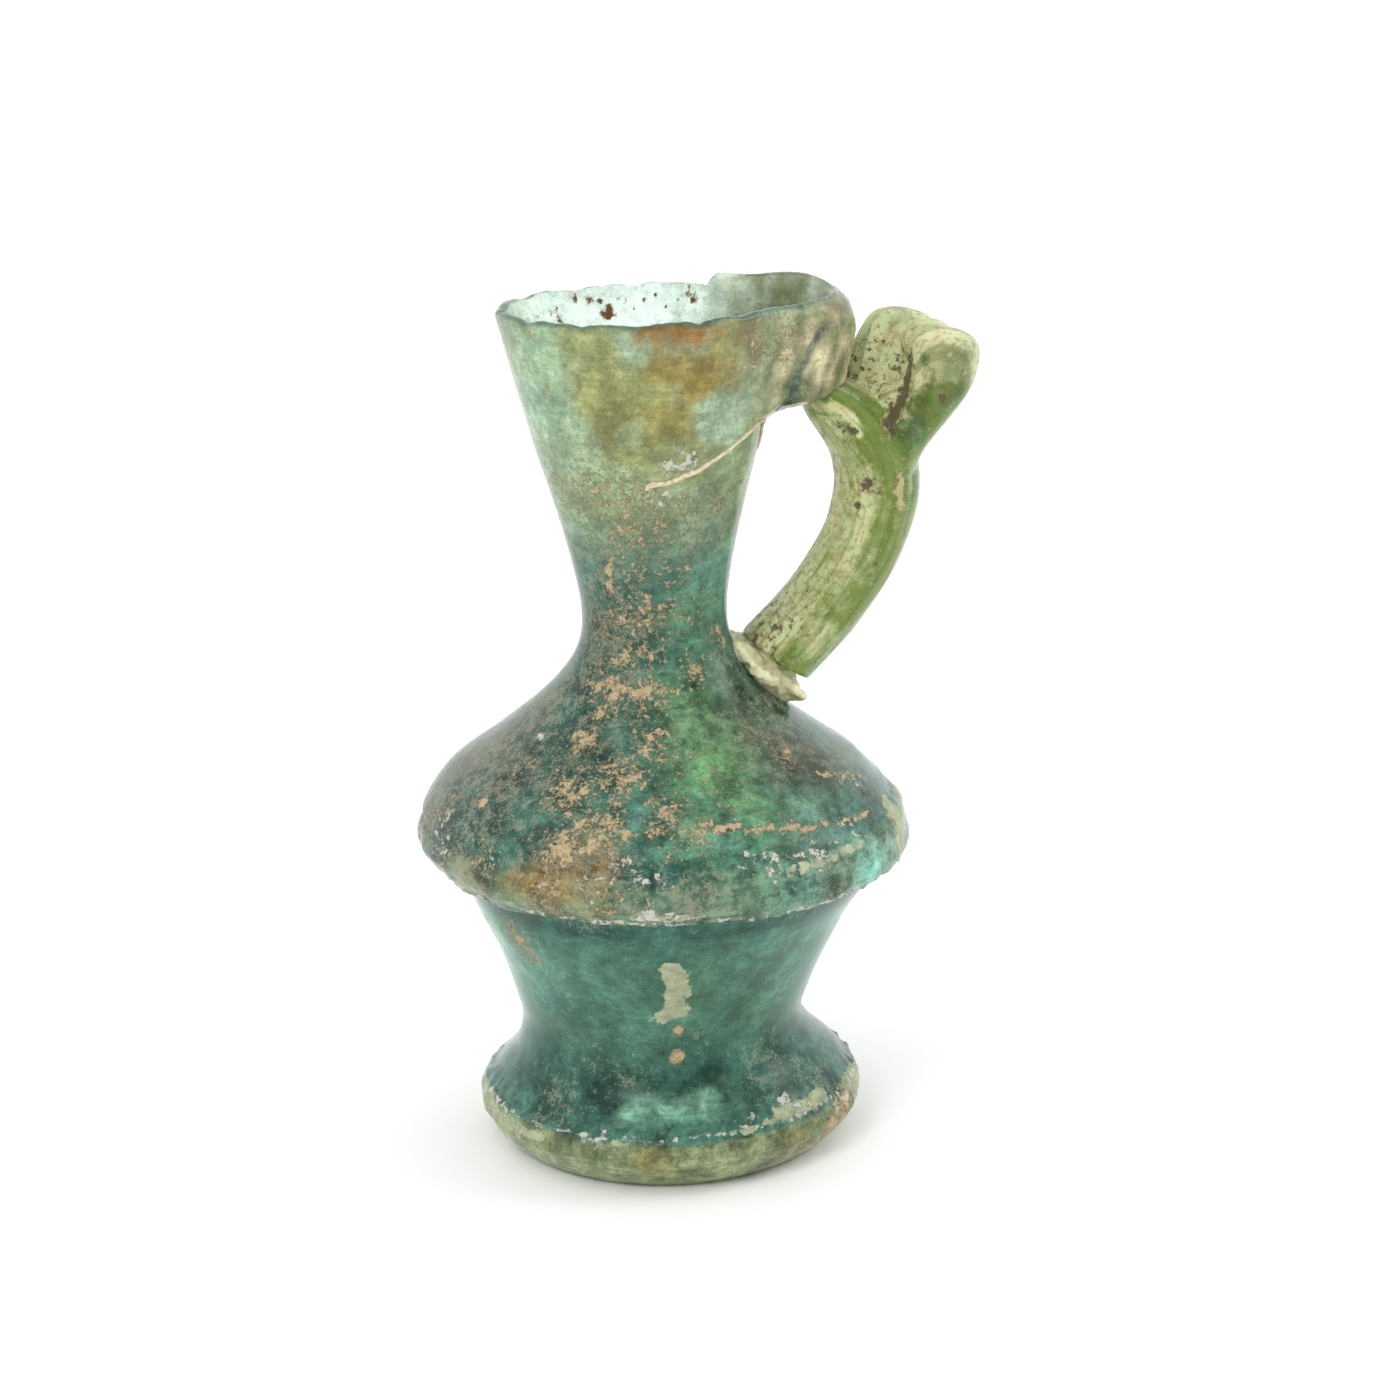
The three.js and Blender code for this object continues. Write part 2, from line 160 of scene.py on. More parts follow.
# Soft areas of another tint on the outside: the colour's name, how hard the edge is, and its marks
TINT_MARKS = [
    ("green_glass", 2, [
        (-64, 72.4, 4, 0.5), (-76, 61, 6, 0.7), (-74, 56, 7, 0.9), (-68, 52.6, 6, 0.8), (-84, 51, 5, 0.5),
        (100, 58, 8, 0.8), (-90, 26, 7, 0.3), (-60, 24, 7, 0.3),
    ]),
    ("teal_bright", 2, [
        (-59, 52.5, 4, 0.35), (-80, 50, 3, 0.35), (-40, 33, 5, 0.7), (-100, 52, 3, 0.5),
        (-168, 27, 8, 0.8), (-152, 101, 6, 0.4), (-146, 108, 4, 0.3), (-28, 27, 7, 0.9),
        (-45, 41.5, 4, 0.8), (-66, 42, 4, 0.6), (-150, 25, 5, 0.6), (-50, 28, 8, 0.6), (-62, 33, 5, 0.5),
        (-74, 20, 5, 0.3), (-112, 22, 6, 0.3), (-120, 28, 4, 0.3), (-98, 35, 5, 0.25),
    ]),
    ("deep_glass", 2, [
        (-30, 55, 7, 0.6), (-60, 49.5, 3, 0.4), *stroke((-50, 47.4), (-14, 48.6), 1.2, 0.9),
        (-171, 54, 9, 0.7), (-175, 60, 7, 0.8), (-150, 62, 7, 0.8), (-135, 57, 5, 0.7),
        (-150, 67, 5, 0.7), (-152, 76, 6, 0.7), (-130, 72, 5, 0.5), (-112, 46.4, 2.4, 0.8),
        (-98, 45.9, 2.2, 0.7), (60, 62, 8, 0.6), (-98, 17.4, 0.5, 1), (-24, 39.5, 4, 0.7),
        (-80, 15.5, 5, 0.6), (-120, 12, 6, 0.6), (-50, 12.5, 6, 0.5), (-160, 13, 6, 0.5),
        (-90, 37, 3, 0.7), (-140, 45.5, 3, 0.5), (-172, 45, 4, 0.6),
    ]),
    ("umber", 2, [
        (-40, 54.5, 7, 1), (-50, 58.5, 6, 0.9), (-28, 53, 5, 0.7), (-45, 62, 5, 0.7), (-150, 70, 5, 0.6),
        (-128, 58, 4, 0.4), (-160, 55, 6, 0.4), (-66, 47.4, 2.5, 0.4), (-52, 54, 5, 0.7),
        (-62, 29, 5, 0.32), (-70, 22, 4, 0.26), (-84, 34, 4, 0.22), (-114, 31, 4, 0.26),
        (-126, 19, 5, 0.26), (-80, 12, 4, 0.3), (-112, 14, 3, 0.26), (-46, 20, 5, 0.3), (-30, 60, 5, 0.7),
        (-113, 46.3, 2.4, 0.7), (-122, 50, 4, 0.3),
    ]),
    # Painted glow along the lower body's edges and painted highlight on the foot's slope
    ("pearl_glow", 3, PEARL_GLOW_MARKS),
    ("olive_stain", 9, [
        (-118, 108, 4.5, 0.8), (-115, 103, 5, 0.9), (-104, 99, 5.5, 0.9), (-95, 104.5, 4.5, 0.8),
        (-88, 96, 6, 0.6), (-66, 97, 4, 0.5), (-60, 108, 3.5, 0.7), (-149, 43.4, 3, 0.3),
        (-137, 43, 3, 0.3), (-126, 42.5, 3, 0.3), (-116, 42, 3, 0.4), (-25, 44, 2.6, 0.9),
        (-8, 43, 3, 0.6), (0, 105, 9, 0.4), (60, 43, 8, 0.8), (140, 100, 6, 0.5), (120, 43, 7, 0.7),
        (90, 5, 6, 0.7), (150, 106, 7, 0.4),
    ]),
    ("gold_stain", 4, [
        (-84, 107, 4, 0.9), (-72, 104, 4.5, 1), (-80, 100.5, 4, 0.7), (-62, 103, 3.5, 0.8),
        (-104, 4.8, 3, 0.5), (-120, 44.4, 2, 0.8), (-128, 45, 1.8, 0.8), (-112, 45.4, 1.6, 0.6),
        (-60, 3.5, 3, 0.4),
    ]),
    ("aqua_glass", 8, [
        (-62, 99.6, 3.6, 1), (-52, 98.6, 3.6, 1), (-100, 110, 2.4, 0.8), (-146, 104, 6, 0.4),
        (-140, 96, 5, 0.6), (-84, 110, 1.8, 0.7), (-75, 109.6, 1.6, 0.7), (-106, 97.6, 2, 0.4),
    ]),
    ("rust_stain", 2, [
        (-98, 110.9, 1.1, 0.8), (-90, 110.6, 1.4, 0.9), (-83, 110.4, 1.8, 1), (-76, 110.4, 1.7, 1),
        (-68, 110.8, 1, 0.6), (-111, 47.8, 2.2, 0.6), (-118, 46.8, 2.2, 0.6), (-125, 45.4, 2.4, 0.6),
        (-133, 45, 2, 0.4), (-116, 50, 1.6, 0.4), (-144, 103.7, 0.4, 0.8), (-141, 97.9, 0.4, 0.8),
        (-146, 110.5, 0.4, 0.9), (-44, 4.2, 1.2, 0.6), (-35, 5.2, 1.6, 0.5),
        *stroke((-97, 111.3), (-78, 110.9), 0.9, 0.95),
    ]),
]
# Brown dirt on the front of the lump and beside it
BROWN_MARKS = [
    (-48, 109.5, 3, 0.85), (-45, 107, 2, 0.8), (-50, 111, 2, 0.8), (-10, 111, 3, 0.6), (-28, 110.5, 3, 0.3),
]
LUMP_SHADE = (0.15, 0.19, 0.09)
LUMP_LIGHT = (0.56, 0.5, 0.31)
BROWN_DIRT = (0.2, 0.13, 0.06)
CRACK_TINT = (0.04, 0.09, 0.07)
RIM_TINT = (0.06, 0.13, 0.1)
# Brown specks on the inside of the mouth's far wall
SPECK_MARKS = [
    (106, 110.4, 1.1, 0.7), (113, 111.2, 0.8, 0.6), (97, 108.7, 1.2, 0.7), (100, 110, 0.7, 0.7),
    (79, 109.8, 0.35, 0.9), (75, 110.5, 0.3, 0.9), (70, 108.8, 0.3, 0.9), (84, 109, 0.25, 0.9),
    (58, 110.8, 1.2, 0.5), (62, 110, 1, 0.5), (120, 108.5, 1.5, 0.4), (135, 109, 1.5, 0.4),
]


class JugSizes(PropertyGroup):
    rim_height: FloatProperty(
        name="Rim height", description="Height of the mouth's front edge above the surface",
        default=0.112, unit="LENGTH")
    rim_radius: FloatProperty(
        name="Rim radius", description="Outer radius of the mouth", default=0.0183, unit="LENGTH")
    rim_wall: FloatProperty(
        name="Rim wall", description="Thickness of the mouth's edge", default=0.0015, unit="LENGTH")
    wall: FloatProperty(
        name="Wall", description="Thickness of the neck at its waist", default=0.0017, unit="LENGTH")
    neck_radius: FloatProperty(
        name="Neck radius", description="Outer radius at the neck's waist", default=0.00955,
        unit="LENGTH")
    neck_height: FloatProperty(
        name="Neck height", description="Height of the neck's waist", default=0.0725, unit="LENGTH")
    collar_radius: FloatProperty(
        name="Collar radius", description="Outer radius of the folded collar", default=0.0325,
        unit="LENGTH")
    collar_bottom: FloatProperty(
        name="Collar bottom", description="Height of the collar's sharp lower edge", default=0.0392,
        unit="LENGTH")
    collar_top: FloatProperty(
        name="Collar top", description="Height of the crease above the collar", default=0.0462,
        unit="LENGTH")
    waist_radius: FloatProperty(
        name="Waist radius", description="Radius above the foot", default=0.0188, unit="LENGTH")
    foot_radius: FloatProperty(
        name="Foot radius", description="Radius of the splayed foot", default=0.0259, unit="LENGTH")
    lobe_reach: FloatProperty(
        name="Lobe reach", description="How far the mouth is pulled out to the handle", default=0.0077,
        unit="LENGTH")
    lump_thickness: FloatProperty(
        name="Lump thickness", description="Thickness of the handle glass on the rim", default=0.0087,
        unit="LENGTH")
    bar_thickness: FloatProperty(
        name="Bar thickness", description="Half the handle bar's thickness", default=0.0053,
        unit="LENGTH")
    bar_width: FloatProperty(
        name="Bar width", description="Half the handle bar's width", default=0.0063, unit="LENGTH")
    chip_depth: FloatProperty(
        name="Chip depth", description="Depth of the largest chips in the rim", default=0.0007,
        unit="LENGTH")
    crack_width: FloatProperty(
        name="Crack width", description="Width of the crack across the lump on the rim", default=0.0006,
        unit="LENGTH")
    columns: IntProperty(name="Columns", description="Faces round the vessel", default=290, min=24)


def glass_colour(name, description, colour):
    return FloatVectorProperty(name=name, description=description, subtype="COLOR", default=colour)


class JugColours(PropertyGroup):
    clear_glass: glass_colour("Clean glass", "Tint of the clean mouth wall", (0.84, 0.94, 0.84))
    sage_glass: glass_colour("Neck glass", "Tint of the weathered neck", (0.31, 0.39, 0.22))
    aqua_glass: glass_colour("Aqua glass", "Tint of the neck where it is clean", (0.35, 0.46, 0.31))
    teal_glass: glass_colour("Body glass", "Tint of the body", (0.145, 0.34, 0.25))
    teal_bright: glass_colour("Bright teal", "Tint where the body is thin and clean", (0.18, 0.46, 0.36))
    deep_glass: glass_colour("Deep glass", "Tint of the thick dark parts", (0.03, 0.11, 0.085))
    green_glass: glass_colour("Green glow", "Tint where the body lights up green", (0.18, 0.38, 0.16))
    olive_glass: glass_colour("Collar glass", "Tint of the collar and the foot's rim", (0.25, 0.29, 0.15))
    lump_glass: glass_colour("Lump glass", "Tint of the handle glass on the rim", (0.34, 0.31, 0.17))
    umber: glass_colour("Umber", "Dark brown-olive areas of the shoulder", (0.085, 0.1, 0.055))
    olive_stain: glass_colour("Olive stain", "Stain on the neck and the collar", (0.29, 0.28, 0.1))
    gold_stain: glass_colour("Gold stain", "Stain in the middle of the neck", (0.3, 0.22, 0.06))
    # Painted glow and painted highlight: the pale mint of the lower body's lit edges and of the bright spot
    # on the foot's slope
    pearl_glow: glass_colour("Pearly film", "Bright film on the body", (0.32, 0.64, 0.45))
    pale_scar: glass_colour("Pale scar", "Opaque pale olive patches", (0.45, 0.47, 0.31))
    rust_stain: glass_colour("Rust stain", "Stain under the rim", (0.36, 0.15, 0.03))
    handle_glass: glass_colour("Handle glass", "Tint of the handle", (0.4, 0.46, 0.14))
    handle_pale: glass_colour("Handle film", "Pale weathered film on the handle", (0.9, 0.87, 0.55))
    crust_tan: glass_colour("Crust", "Earthy crust", (0.48, 0.39, 0.22))
    crust_pink: glass_colour("Pink crust", "Pinkish part of the crust", (0.52, 0.39, 0.25))
    grime: glass_colour("Grime", "Fine grey-tan dirt", (0.27, 0.25, 0.17))
    lime_scale: glass_colour("Lime scale", "White scale", (0.54, 0.55, 0.46))
    dark_dirt: glass_colour("Dirt", "Dark dirt in pits", (0.085, 0.06, 0.04))
    adhesive: glass_colour("Adhesive", "Old yellowed glue", (0.9, 0.88, 0.56))


class JugStage(PropertyGroup):
    camera_distance: FloatProperty(
        name="Camera distance", description="From the vessel's axis, measured level", default=0.3674,
        unit="LENGTH")
    camera_height: FloatProperty(
        name="Camera height", description="Above the surface", default=0.1654, unit="LENGTH")
    camera_azimuth: FloatProperty(
        name="Camera azimuth", description="Angle round the jug", subtype="ANGLE",
        default=math.radians(-8))
    camera_turn: FloatProperty(
        name="Camera turn", description="Turn to the right of the vessel's axis", subtype="ANGLE",
        default=math.radians(1.0))
    camera_pitch: FloatProperty(
        name="Camera pitch", description="Downward tilt", subtype="ANGLE", default=math.radians(16.1))
    camera_roll: FloatProperty(
        name="Camera roll", description="Lean of the picture", subtype="ANGLE", default=math.radians(1.5))
    lens: FloatProperty(
        name="Lens", description="Focal length on a 36 mm wide sensor", default=74.7, unit="CAMERA")
    surround: FloatProperty(name="Surround", description="Brightness of the white surround", default=1.24)
    front_surround: FloatProperty(
        name="Front surround", description="Brightness of the room in front of the jug", default=0.5)
    key_power: FloatProperty(
        name="Soft light", description="Power of the large soft light", default=2.2, unit="POWER")
    floor_colour: FloatVectorProperty(
        name="Floor", description="Colour of the floor", subtype="COLOR", default=(0.97, 0.97, 0.97))


def smooth(low, high, value):
    t = np.clip((np.asarray(value, float) - low) / (high - low), 0, 1)
    return t * t * (3 - 2 * t)


def bell(value, centre, spread):
    return np.exp(-(((value - centre) / spread) ** 2))


def curve_through(points, count):
    """A uniform Catmull-Rom curve through points, with count + 1 samples."""
    points = np.array(points, float)
    last = len(points) - 1
    where = np.linspace(0, last, count + 1)
    start = np.minimum(where.astype(int), last - 1)
    t = (where - start)[:, None]
    before, a = points[np.maximum(start - 1, 0)], points[start]
    b, after = points[start + 1], points[np.minimum(start + 2, last)]
    v0, v1 = (b - before) / 2, (after - a) / 2
    return (2 * a - 2 * b + v0 + v1) * t**3 + (-3 * a + 3 * b - 2 * v0 - v1) * t**2 + v0 * t + a


def wander(height):
    height = np.asarray(height, float)
    shift = np.full(height.shape, float(WANDER[0][1]))
    for (z0, s0), (z1, s1) in zip(WANDER, WANDER[1:]):
        shift = np.where(height > z0, s0 + (s1 - s0) * smooth(z0, z1, height), shift)
    return shift


def ripple(points, size, seed=0.0):
    """Smooth noise of about one crest in each size millimetres, from -1 to 1."""
    offset = Vector((seed, seed * 1.7, -seed))
    return np.array([noise.noise(Vector(p) / size + offset) for p in points])


def vessel_profile(s):
    """The outer and the inner half outline, [radius, height] in mm, from the underside to the floor."""
    rim_h, rim_r, rim_w = s.rim_height / MM, s.rim_radius / MM, s.rim_wall / MM
    neck_r, neck_h, wall = s.neck_radius / MM, s.neck_height / MM, s.wall / MM
    col_r, col_b, col_t = s.collar_radius / MM, s.collar_bottom / MM, s.collar_top / MM
    waist, foot = s.waist_radius / MM, s.foot_radius / MM
    underside = curve_through([(0, 10.8), (9, 10.3), (14, 8.9), (17.2, 6.4), (19.3, 3), (20.2, 0)], 26)
    ring = np.linspace((20.4, 0), (21.5, 0), 3)
    lower = curve_through([
        (21.7, 0), (23.8, 1.7), (foot, 4.6), (25.3, 7.2), (22.9, 9.6), (20.2, 12.6), (waist, 16.5),
        (20, 21), (21.9, 26), (24.5, 31.5), (27.3, 36.6), (28.3, col_b - 0.9)], 80)
    ledge = np.linspace((28.8, col_b - 0.8), (31, col_b - 0.05), 6)
    collar = curve_through([
        (31.2, col_b), (32.2, 40.7), (col_r, 42.6), (32.3, 44.4), (31.6, col_t - 0.5), (30.9, col_t)], 26)
    neck = curve_through([
        (30.6, 47.4), (27.5, 51), (23.3, 54), (19.3, 57), (15.2, 60.5), (11.9, 64.2), (10, 68),
        (neck_r, neck_h), (10.5, 79), (12.2, 86), (14.3, 93.5), (15.1, 96.9), (15.4, 98.1),
        (15.65, 99.2), (16, 100.6), (16.9, 105), (rim_r - 0.05, rim_h - 0.7)], 96)
    rim = curve_through([
        (rim_r - 0.12, rim_h - 0.4), (rim_r - 0.35, rim_h - 0.1), (rim_r - rim_w / 2, rim_h),
        (rim_r - rim_w + 0.3, rim_h - 0.12), (rim_r - rim_w + 0.1, rim_h - 0.45)], 8)
    throat = curve_through([
        (rim_r - rim_w, rim_h - 0.8), (rim_r - rim_w - 0.2, rim_h - 1.6), (16.4, 109.4), (16.2, 108.4),
        (16, 107.4), (15.6, 105.6), (15, 103), (12.8, 94), (10.6, 86), (8.8, 79),
        (neck_r - wall, neck_h), (8.3, 67.6), (10.1, 63.2), (13.4, 59.4), (17.6, 55.6), (21.7, 52.5),
        (25.6, 49.2), (28.3, 46.4), (29.5, 43), (28.3, 39.6), (25.4, 36.4)], 65)
    bowl = curve_through([
        (24.2, 34.4), (22.6, 31.2), (20, 25.8), (18.1, 21), (waist - 2, 17.1), (15.2, 14.4),
        (10, 13.2), (0, 13.5)], 22)
    return np.vstack([underside, ring, lower, ledge, collar, neck, rim]), np.vstack([throat, bowl])


def lump_amount(angle, height):
    """How much of the handle glass lies on the outside of the mouth, from 0 to 1."""
    shelf = smooth(96.4, 100, height)
    fade = np.clip((111.7 - height) / 11.7, 0, 1) ** 0.65
    return shelf * fade * bell(angle, 0, math.radians(24))


def place(s, radius, angle, height, outer):
    """Points in mm, with the mouth pulled out to the handle and the rings shifted off the axis."""
    rise = smooth(95, s.rim_height / MM, height)
    lobe = s.lobe_reach / MM * rise * bell(angle, math.radians(3), math.radians(22))
    lump = np.where(outer, s.lump_thickness / MM * lump_amount(angle, height), 0)
    behind = smooth(-0.1, 0.35, angle) * (1 - smooth(0.8, 0.92, angle))
    far = np.where(radius > 1e-6, radius + lobe + lump, 0)
    x = far * np.cos(angle) + wander(height)
    return np.stack([x, far * np.sin(angle), height + 2 * rise**2 * behind], -1)


def rim_wear(s, points, angle, height):
    """Lowers the rim in waves and chips, in mm. The raised back edge and the front are both worn."""
    near_top = smooth(107, 111.6, height)
    raised = smooth(0.2, 0.6, angle) * (1 - smooth(0.85, 0.95, angle))
    waves = 0.26 * ripple(points * (1, 1, 0), 9, 3) + 0.1 * ripple(points * (1, 1, 0), 2.6, 5)
    waves = waves + 0.09 * ripple(points * (1, 1, 0), 0.9, 8)
    chips = 0
    for centre, width, depth in (
            (-150, 5, 0.8), (-122, 3, 0.7), (-98, 7, 0.5), (-74, 3, 0.9), (-52, 5, 0.6), (168, 6, 1),
            (140, 5, 0.6), (112, 8, 0.7), (84, 4, 0.9), (-178, 4, 0.7)):
        chips = chips + 0.7 * depth * bell(np.degrees(angle), centre, width)
    return near_top * (waves - 0.1 - 0.35 * raised - s.chip_depth / MM * chips)


def raggedness(points):
    return 1 + 0.3 * ripple(points, 3.5, 41) + 0.2 * ripple(points, 1.2, 43)


def marks(points, ragged, angle, height, side, spots, edge=2.0):
    """Strength of a list of marks at every point, with ragged outlines. side is True where one can lie."""
    total = np.zeros(len(points))
    for degrees, z, reach, strength in spots:
        off = np.abs(np.angle(np.exp(1j * (angle - math.radians(degrees))))) * 20 + np.abs(height - z)
        centre = points[np.argmin(np.where(side, off, 1e9))]
        far = np.linalg.norm(points - centre, axis=1) * ragged
        total = np.maximum(total, strength * np.exp(-((far / reach) ** edge)))
    return total * side


def spread(strength):
    """A density of flakes from the strength of marks, with hardly any flakes away from them."""
    return strength - 0.4 * (1 - smooth(0, 0.25, strength))


def mesh_object(name, points, faces):
    mesh = bpy.data.meshes.new(name)
    mesh.from_pydata((np.asarray(points) * MM + (AXIS_X * MM, 0, 0)).tolist(), [], faces)
    mesh.validate()
    mesh.shade_smooth()
    obj = bpy.data.objects.new(name, mesh)
    bpy.context.collection.objects.link(obj)
    return obj


def read_points(mesh):
    """A mesh's points in mm about the vessel's axis, and its normals."""
    points = np.empty(len(mesh.vertices) * 3)
    mesh.vertices.foreach_get("co", points)
    normals = np.empty(len(mesh.vertices) * 3, np.float32)
    mesh.vertex_normals.foreach_get("vector", normals)
    return points.reshape(-1, 3) / MM - (AXIS_X, 0, 0), normals.reshape(-1, 3)


def write_points(mesh, points):
    """Puts points in mm back, kept inside the solids' own box."""
    low, high = np.array(CAD_BOX[0]), np.array(CAD_BOX[1])
    metres = np.clip(points * MM + (AXIS_X * MM, 0, 0), low, high)
    mesh.vertices.foreach_set("co", metres.ravel())
    mesh.update()


def paint(mesh, name, values):
    values = np.asarray(values, np.float32)
    if values.ndim == 1:
        layer = mesh.attributes.new(name, "FLOAT", "POINT")
        layer.data.foreach_set("value", values)
    elif name.endswith("tint"):
        layer = mesh.attributes.new(name, "FLOAT_COLOR", "POINT")
        layer.data.foreach_set("color", np.column_stack([values, np.ones(len(values), np.float32)]).ravel())
    else:
        layer = mesh.attributes.new(name, "FLOAT_VECTOR", "POINT")
        layer.data.foreach_set("vector", values.ravel())


def blend_colours(base, colour, amount):
    return base + (np.array(colour) - base) * np.clip(amount, 0, 1)[:, None]


def ramp_colours(stops, value):
    """Colours along a list of (value, colour) stops, in rising order."""
    at = [stop[0] for stop in stops]
    return np.stack([np.interp(value, at, [stop[1][k] for stop in stops]) for k in range(3)], -1)


class Sheet:
    """A short way to write a material's nodes."""

    def __init__(self, name):
        self.material = bpy.data.materials.new(name)
        self.material.use_nodes = True
        self.tree = self.material.node_tree
        self.shader = self.tree.nodes["Principled BSDF"]
        self.coords = self.tree.nodes.new("ShaderNodeTexCoord").outputs["Object"]

    def node(self, kind, links=None, **settings):
        made = self.tree.nodes.new("ShaderNode" + kind)
        for key, value in settings.items():
            setattr(made, key, value)
        for key, value in (links or {}).items():
            self.feed(made.inputs[key], value)
        return made

    def feed(self, socket, value):
        if isinstance(value, bpy.types.NodeSocket):
            self.tree.links.new(value, socket)
        elif socket.type == "RGBA":
            socket.default_value = (*value[:3], 1)
        else:
            socket.default_value = value

    def attribute(self, name, output="Fac"):
        return self.node("Attribute", attribute_name=name).outputs[output]

    def math(self, operation, *values):
        made = self.node("Math", operation=operation)
        for socket, value in zip(made.inputs, values):
            self.feed(socket, value)
        return made.outputs[0]

    def grain(self, size_mm, detail=3.0, rough=0.55, stretch=(1, 1, 1), coords=None, move=(0, 0, 0)):
        """Noise from 0 to 1 with grains of about size_mm. stretch lengthens them along X, Y or Z."""
        scale = tuple(1 / value for value in stretch)
        placed = self.node("Mapping", {"Vector": coords or self.coords, "Scale": scale, "Location": move})
        made = self.node("TexNoise", {"Vector": placed.outputs[0], "Scale": 1 / (size_mm * MM),
                                      "Detail": detail, "Roughness": rough})
        return made.outputs["Fac"]

    def range(self, value, low, high, out_low=0.0, out_high=1.0):
        made = self.node("MapRange", {"Value": value, "From Min": low, "From Max": high, "To Min": out_low,
                                      "To Max": out_high}, interpolation_type="SMOOTHSTEP")
        return made.outputs[0]

    def mix(self, amount, a, b, blend="MIX"):
        made = self.node("Mix", data_type="RGBA", blend_type=blend)
        for index, value in ((0, amount), (6, a), (7, b)):
            self.feed(made.inputs[index], value)
        return made.outputs[2]

    def flakes(self, density, lumpy, edge=0.06):
        """1 on ragged flakes of a noise, which cover about as much of the surface as density says."""
        stretched = self.math("MULTIPLY_ADD", lumpy, 3.0, -1.0)
        return self.range(self.math("ADD", stretched, density), 1 - edge, 1 + edge)

    def bump(self, height, depth_mm, strength=1.0):
        links = {"Height": height, "Distance": depth_mm * MM, "Strength": strength}
        return self.node("Bump", links).outputs[0]


def thick_glass(sheet, colour, density):
    """Lets the light that runs inside the glass take on its colour."""
    inside = sheet.node("VolumeAbsorption")
    inside.inputs["Color"].default_value = (*colour, 1)
    inside.inputs["Density"].default_value = density
    output = sheet.tree.nodes["Material Output"]
    sheet.tree.links.new(inside.outputs[0], output.inputs["Volume"])


def vessel_glass(colours):
    """Weathered blue-green glass: tinted by its paint, which also holds painted shade, a painted shadow and
    a painted glow, under grime, flakes of crust and white scale.
    """
    sheet = Sheet("blue_green_glass")
    tint = sheet.attribute("glass_and_painted_light_tint", "Color")
    clear = sheet.attribute("clearness")
    lines = sheet.grain(0.5, 4, 0.6, stretch=(9, 9, 1))
    clouds = sheet.grain(5, 5, 0.62, move=(0.3, 0.1, 0.2))
    mottle = sheet.grain(1.5, 6, 0.65, move=(0.1, 0.4, 0.2))
    fine = sheet.grain(0.3, 3, 0.6)
    ragged = sheet.grain(1.5, 7, 0.77, move=(0.5, 0.2, 0.1))
    lace = sheet.flakes(sheet.attribute("crust"), sheet.grain(0.6, 5, 0.7, move=(0.1, 0.3, 0.6)), 0.1)
    crust = sheet.flakes(sheet.attribute("crust"), ragged)
    crust = sheet.math("MAXIMUM", crust, sheet.math("MULTIPLY", lace, 0.8))
    pale = sheet.flakes(sheet.attribute("pale"), sheet.grain(1.3, 6, 0.7, move=(0.2, 0.5, 0.3)), 0.1)
    scale = sheet.flakes(sheet.attribute("lime_scale"), sheet.grain(1.2, 5, 0.72, move=(0.4, 0, 0.1)), 0.12)
    gritty = sheet.math("MULTIPLY_ADD", sheet.math("SUBTRACT", fine, 0.5), 0.9, mottle)
    grime = sheet.flakes(sheet.attribute("grime"), gritty, 0.25)
    specks = sheet.flakes(sheet.attribute("specks"), mottle, 0.2)

    shade = sheet.range(clouds, 0.32, 0.68, 0.6, 1.45)
    for grain, low, high, dark, light in (
            (mottle, 0.3, 0.7, 0.7, 1.35), (lines, 0.3, 0.7, 0.85, 1.15), (ragged, 0.36, 0.46, 0.6, 1)):
        shade = sheet.math("MULTIPLY", shade, sheet.range(grain, low, high, dark, light))
    shade = sheet.math("MULTIPLY_ADD", sheet.math("SUBTRACT", shade, 1.0), sheet.attribute("mottled"), 1.0)
    shade = sheet.math("MULTIPLY", shade, sheet.range(fine, 0.3, 0.7, 0.84, 1.16))
    glass = sheet.node("VectorMath", {0: tint, "Scale": shade}, operation="SCALE").outputs[0]
    earth = sheet.mix(sheet.range(mottle, 0.4, 0.62), colours.crust_tan, colours.crust_pink)
    earth = sheet.mix(sheet.range(fine, 0.45, 0.7, 0, 0.75), earth, (0.2, 0.15, 0.09))
    earth = sheet.mix(sheet.range(clouds, 0.5, 0.7, 0, 0.6), earth, (0.3, 0.3, 0.17))
    colour = sheet.mix(sheet.math("MULTIPLY", grime, 0.72), glass, colours.grime)
    scar = sheet.mix(sheet.range(mottle, 0.35, 0.65), colours.pale_scar, (0.29, 0.32, 0.21))
    colour = sheet.mix(pale, colour, scar)
    colour = sheet.mix(crust, colour, earth)
    colour = sheet.mix(scale, colour, colours.lime_scale)
    colour = sheet.mix(specks, colour, (0.2, 0.1, 0.04))

    solid = sheet.math("MAXIMUM", sheet.math("MAXIMUM", crust, scale), sheet.math("MAXIMUM", specks, pale))
    solid = sheet.math("MAXIMUM", solid, sheet.math("MULTIPLY", grime, 0.6))
    see = sheet.math("MULTIPLY", clear, sheet.math("SUBTRACT", 1.0, solid))
    shader = sheet.shader
    sheet.feed(shader.inputs["Base Color"], colour)
    sheet.feed(shader.inputs["Transmission Weight"], see)
    smoothest = sheet.range(mottle, 0.3, 0.7, 0.1, 0.26)
    sheet.feed(shader.inputs["Roughness"],
               sheet.math("MAXIMUM", smoothest, sheet.math("MULTIPLY", solid, 0.85)))
    relief = sheet.math("ADD", sheet.math("MAXIMUM", crust, scale), sheet.math("MULTIPLY", fine, 0.16))
    sheet.feed(shader.inputs["Normal"], sheet.bump(relief, 0.12, 0.9))
    shader.inputs["IOR"].default_value = 1.42
    shader.inputs["Specular Tint"].default_value = (0.35, 0.45, 0.4, 1)
    thick_glass(sheet, (0.1, 0.78, 0.56), 110)
    return sheet.material


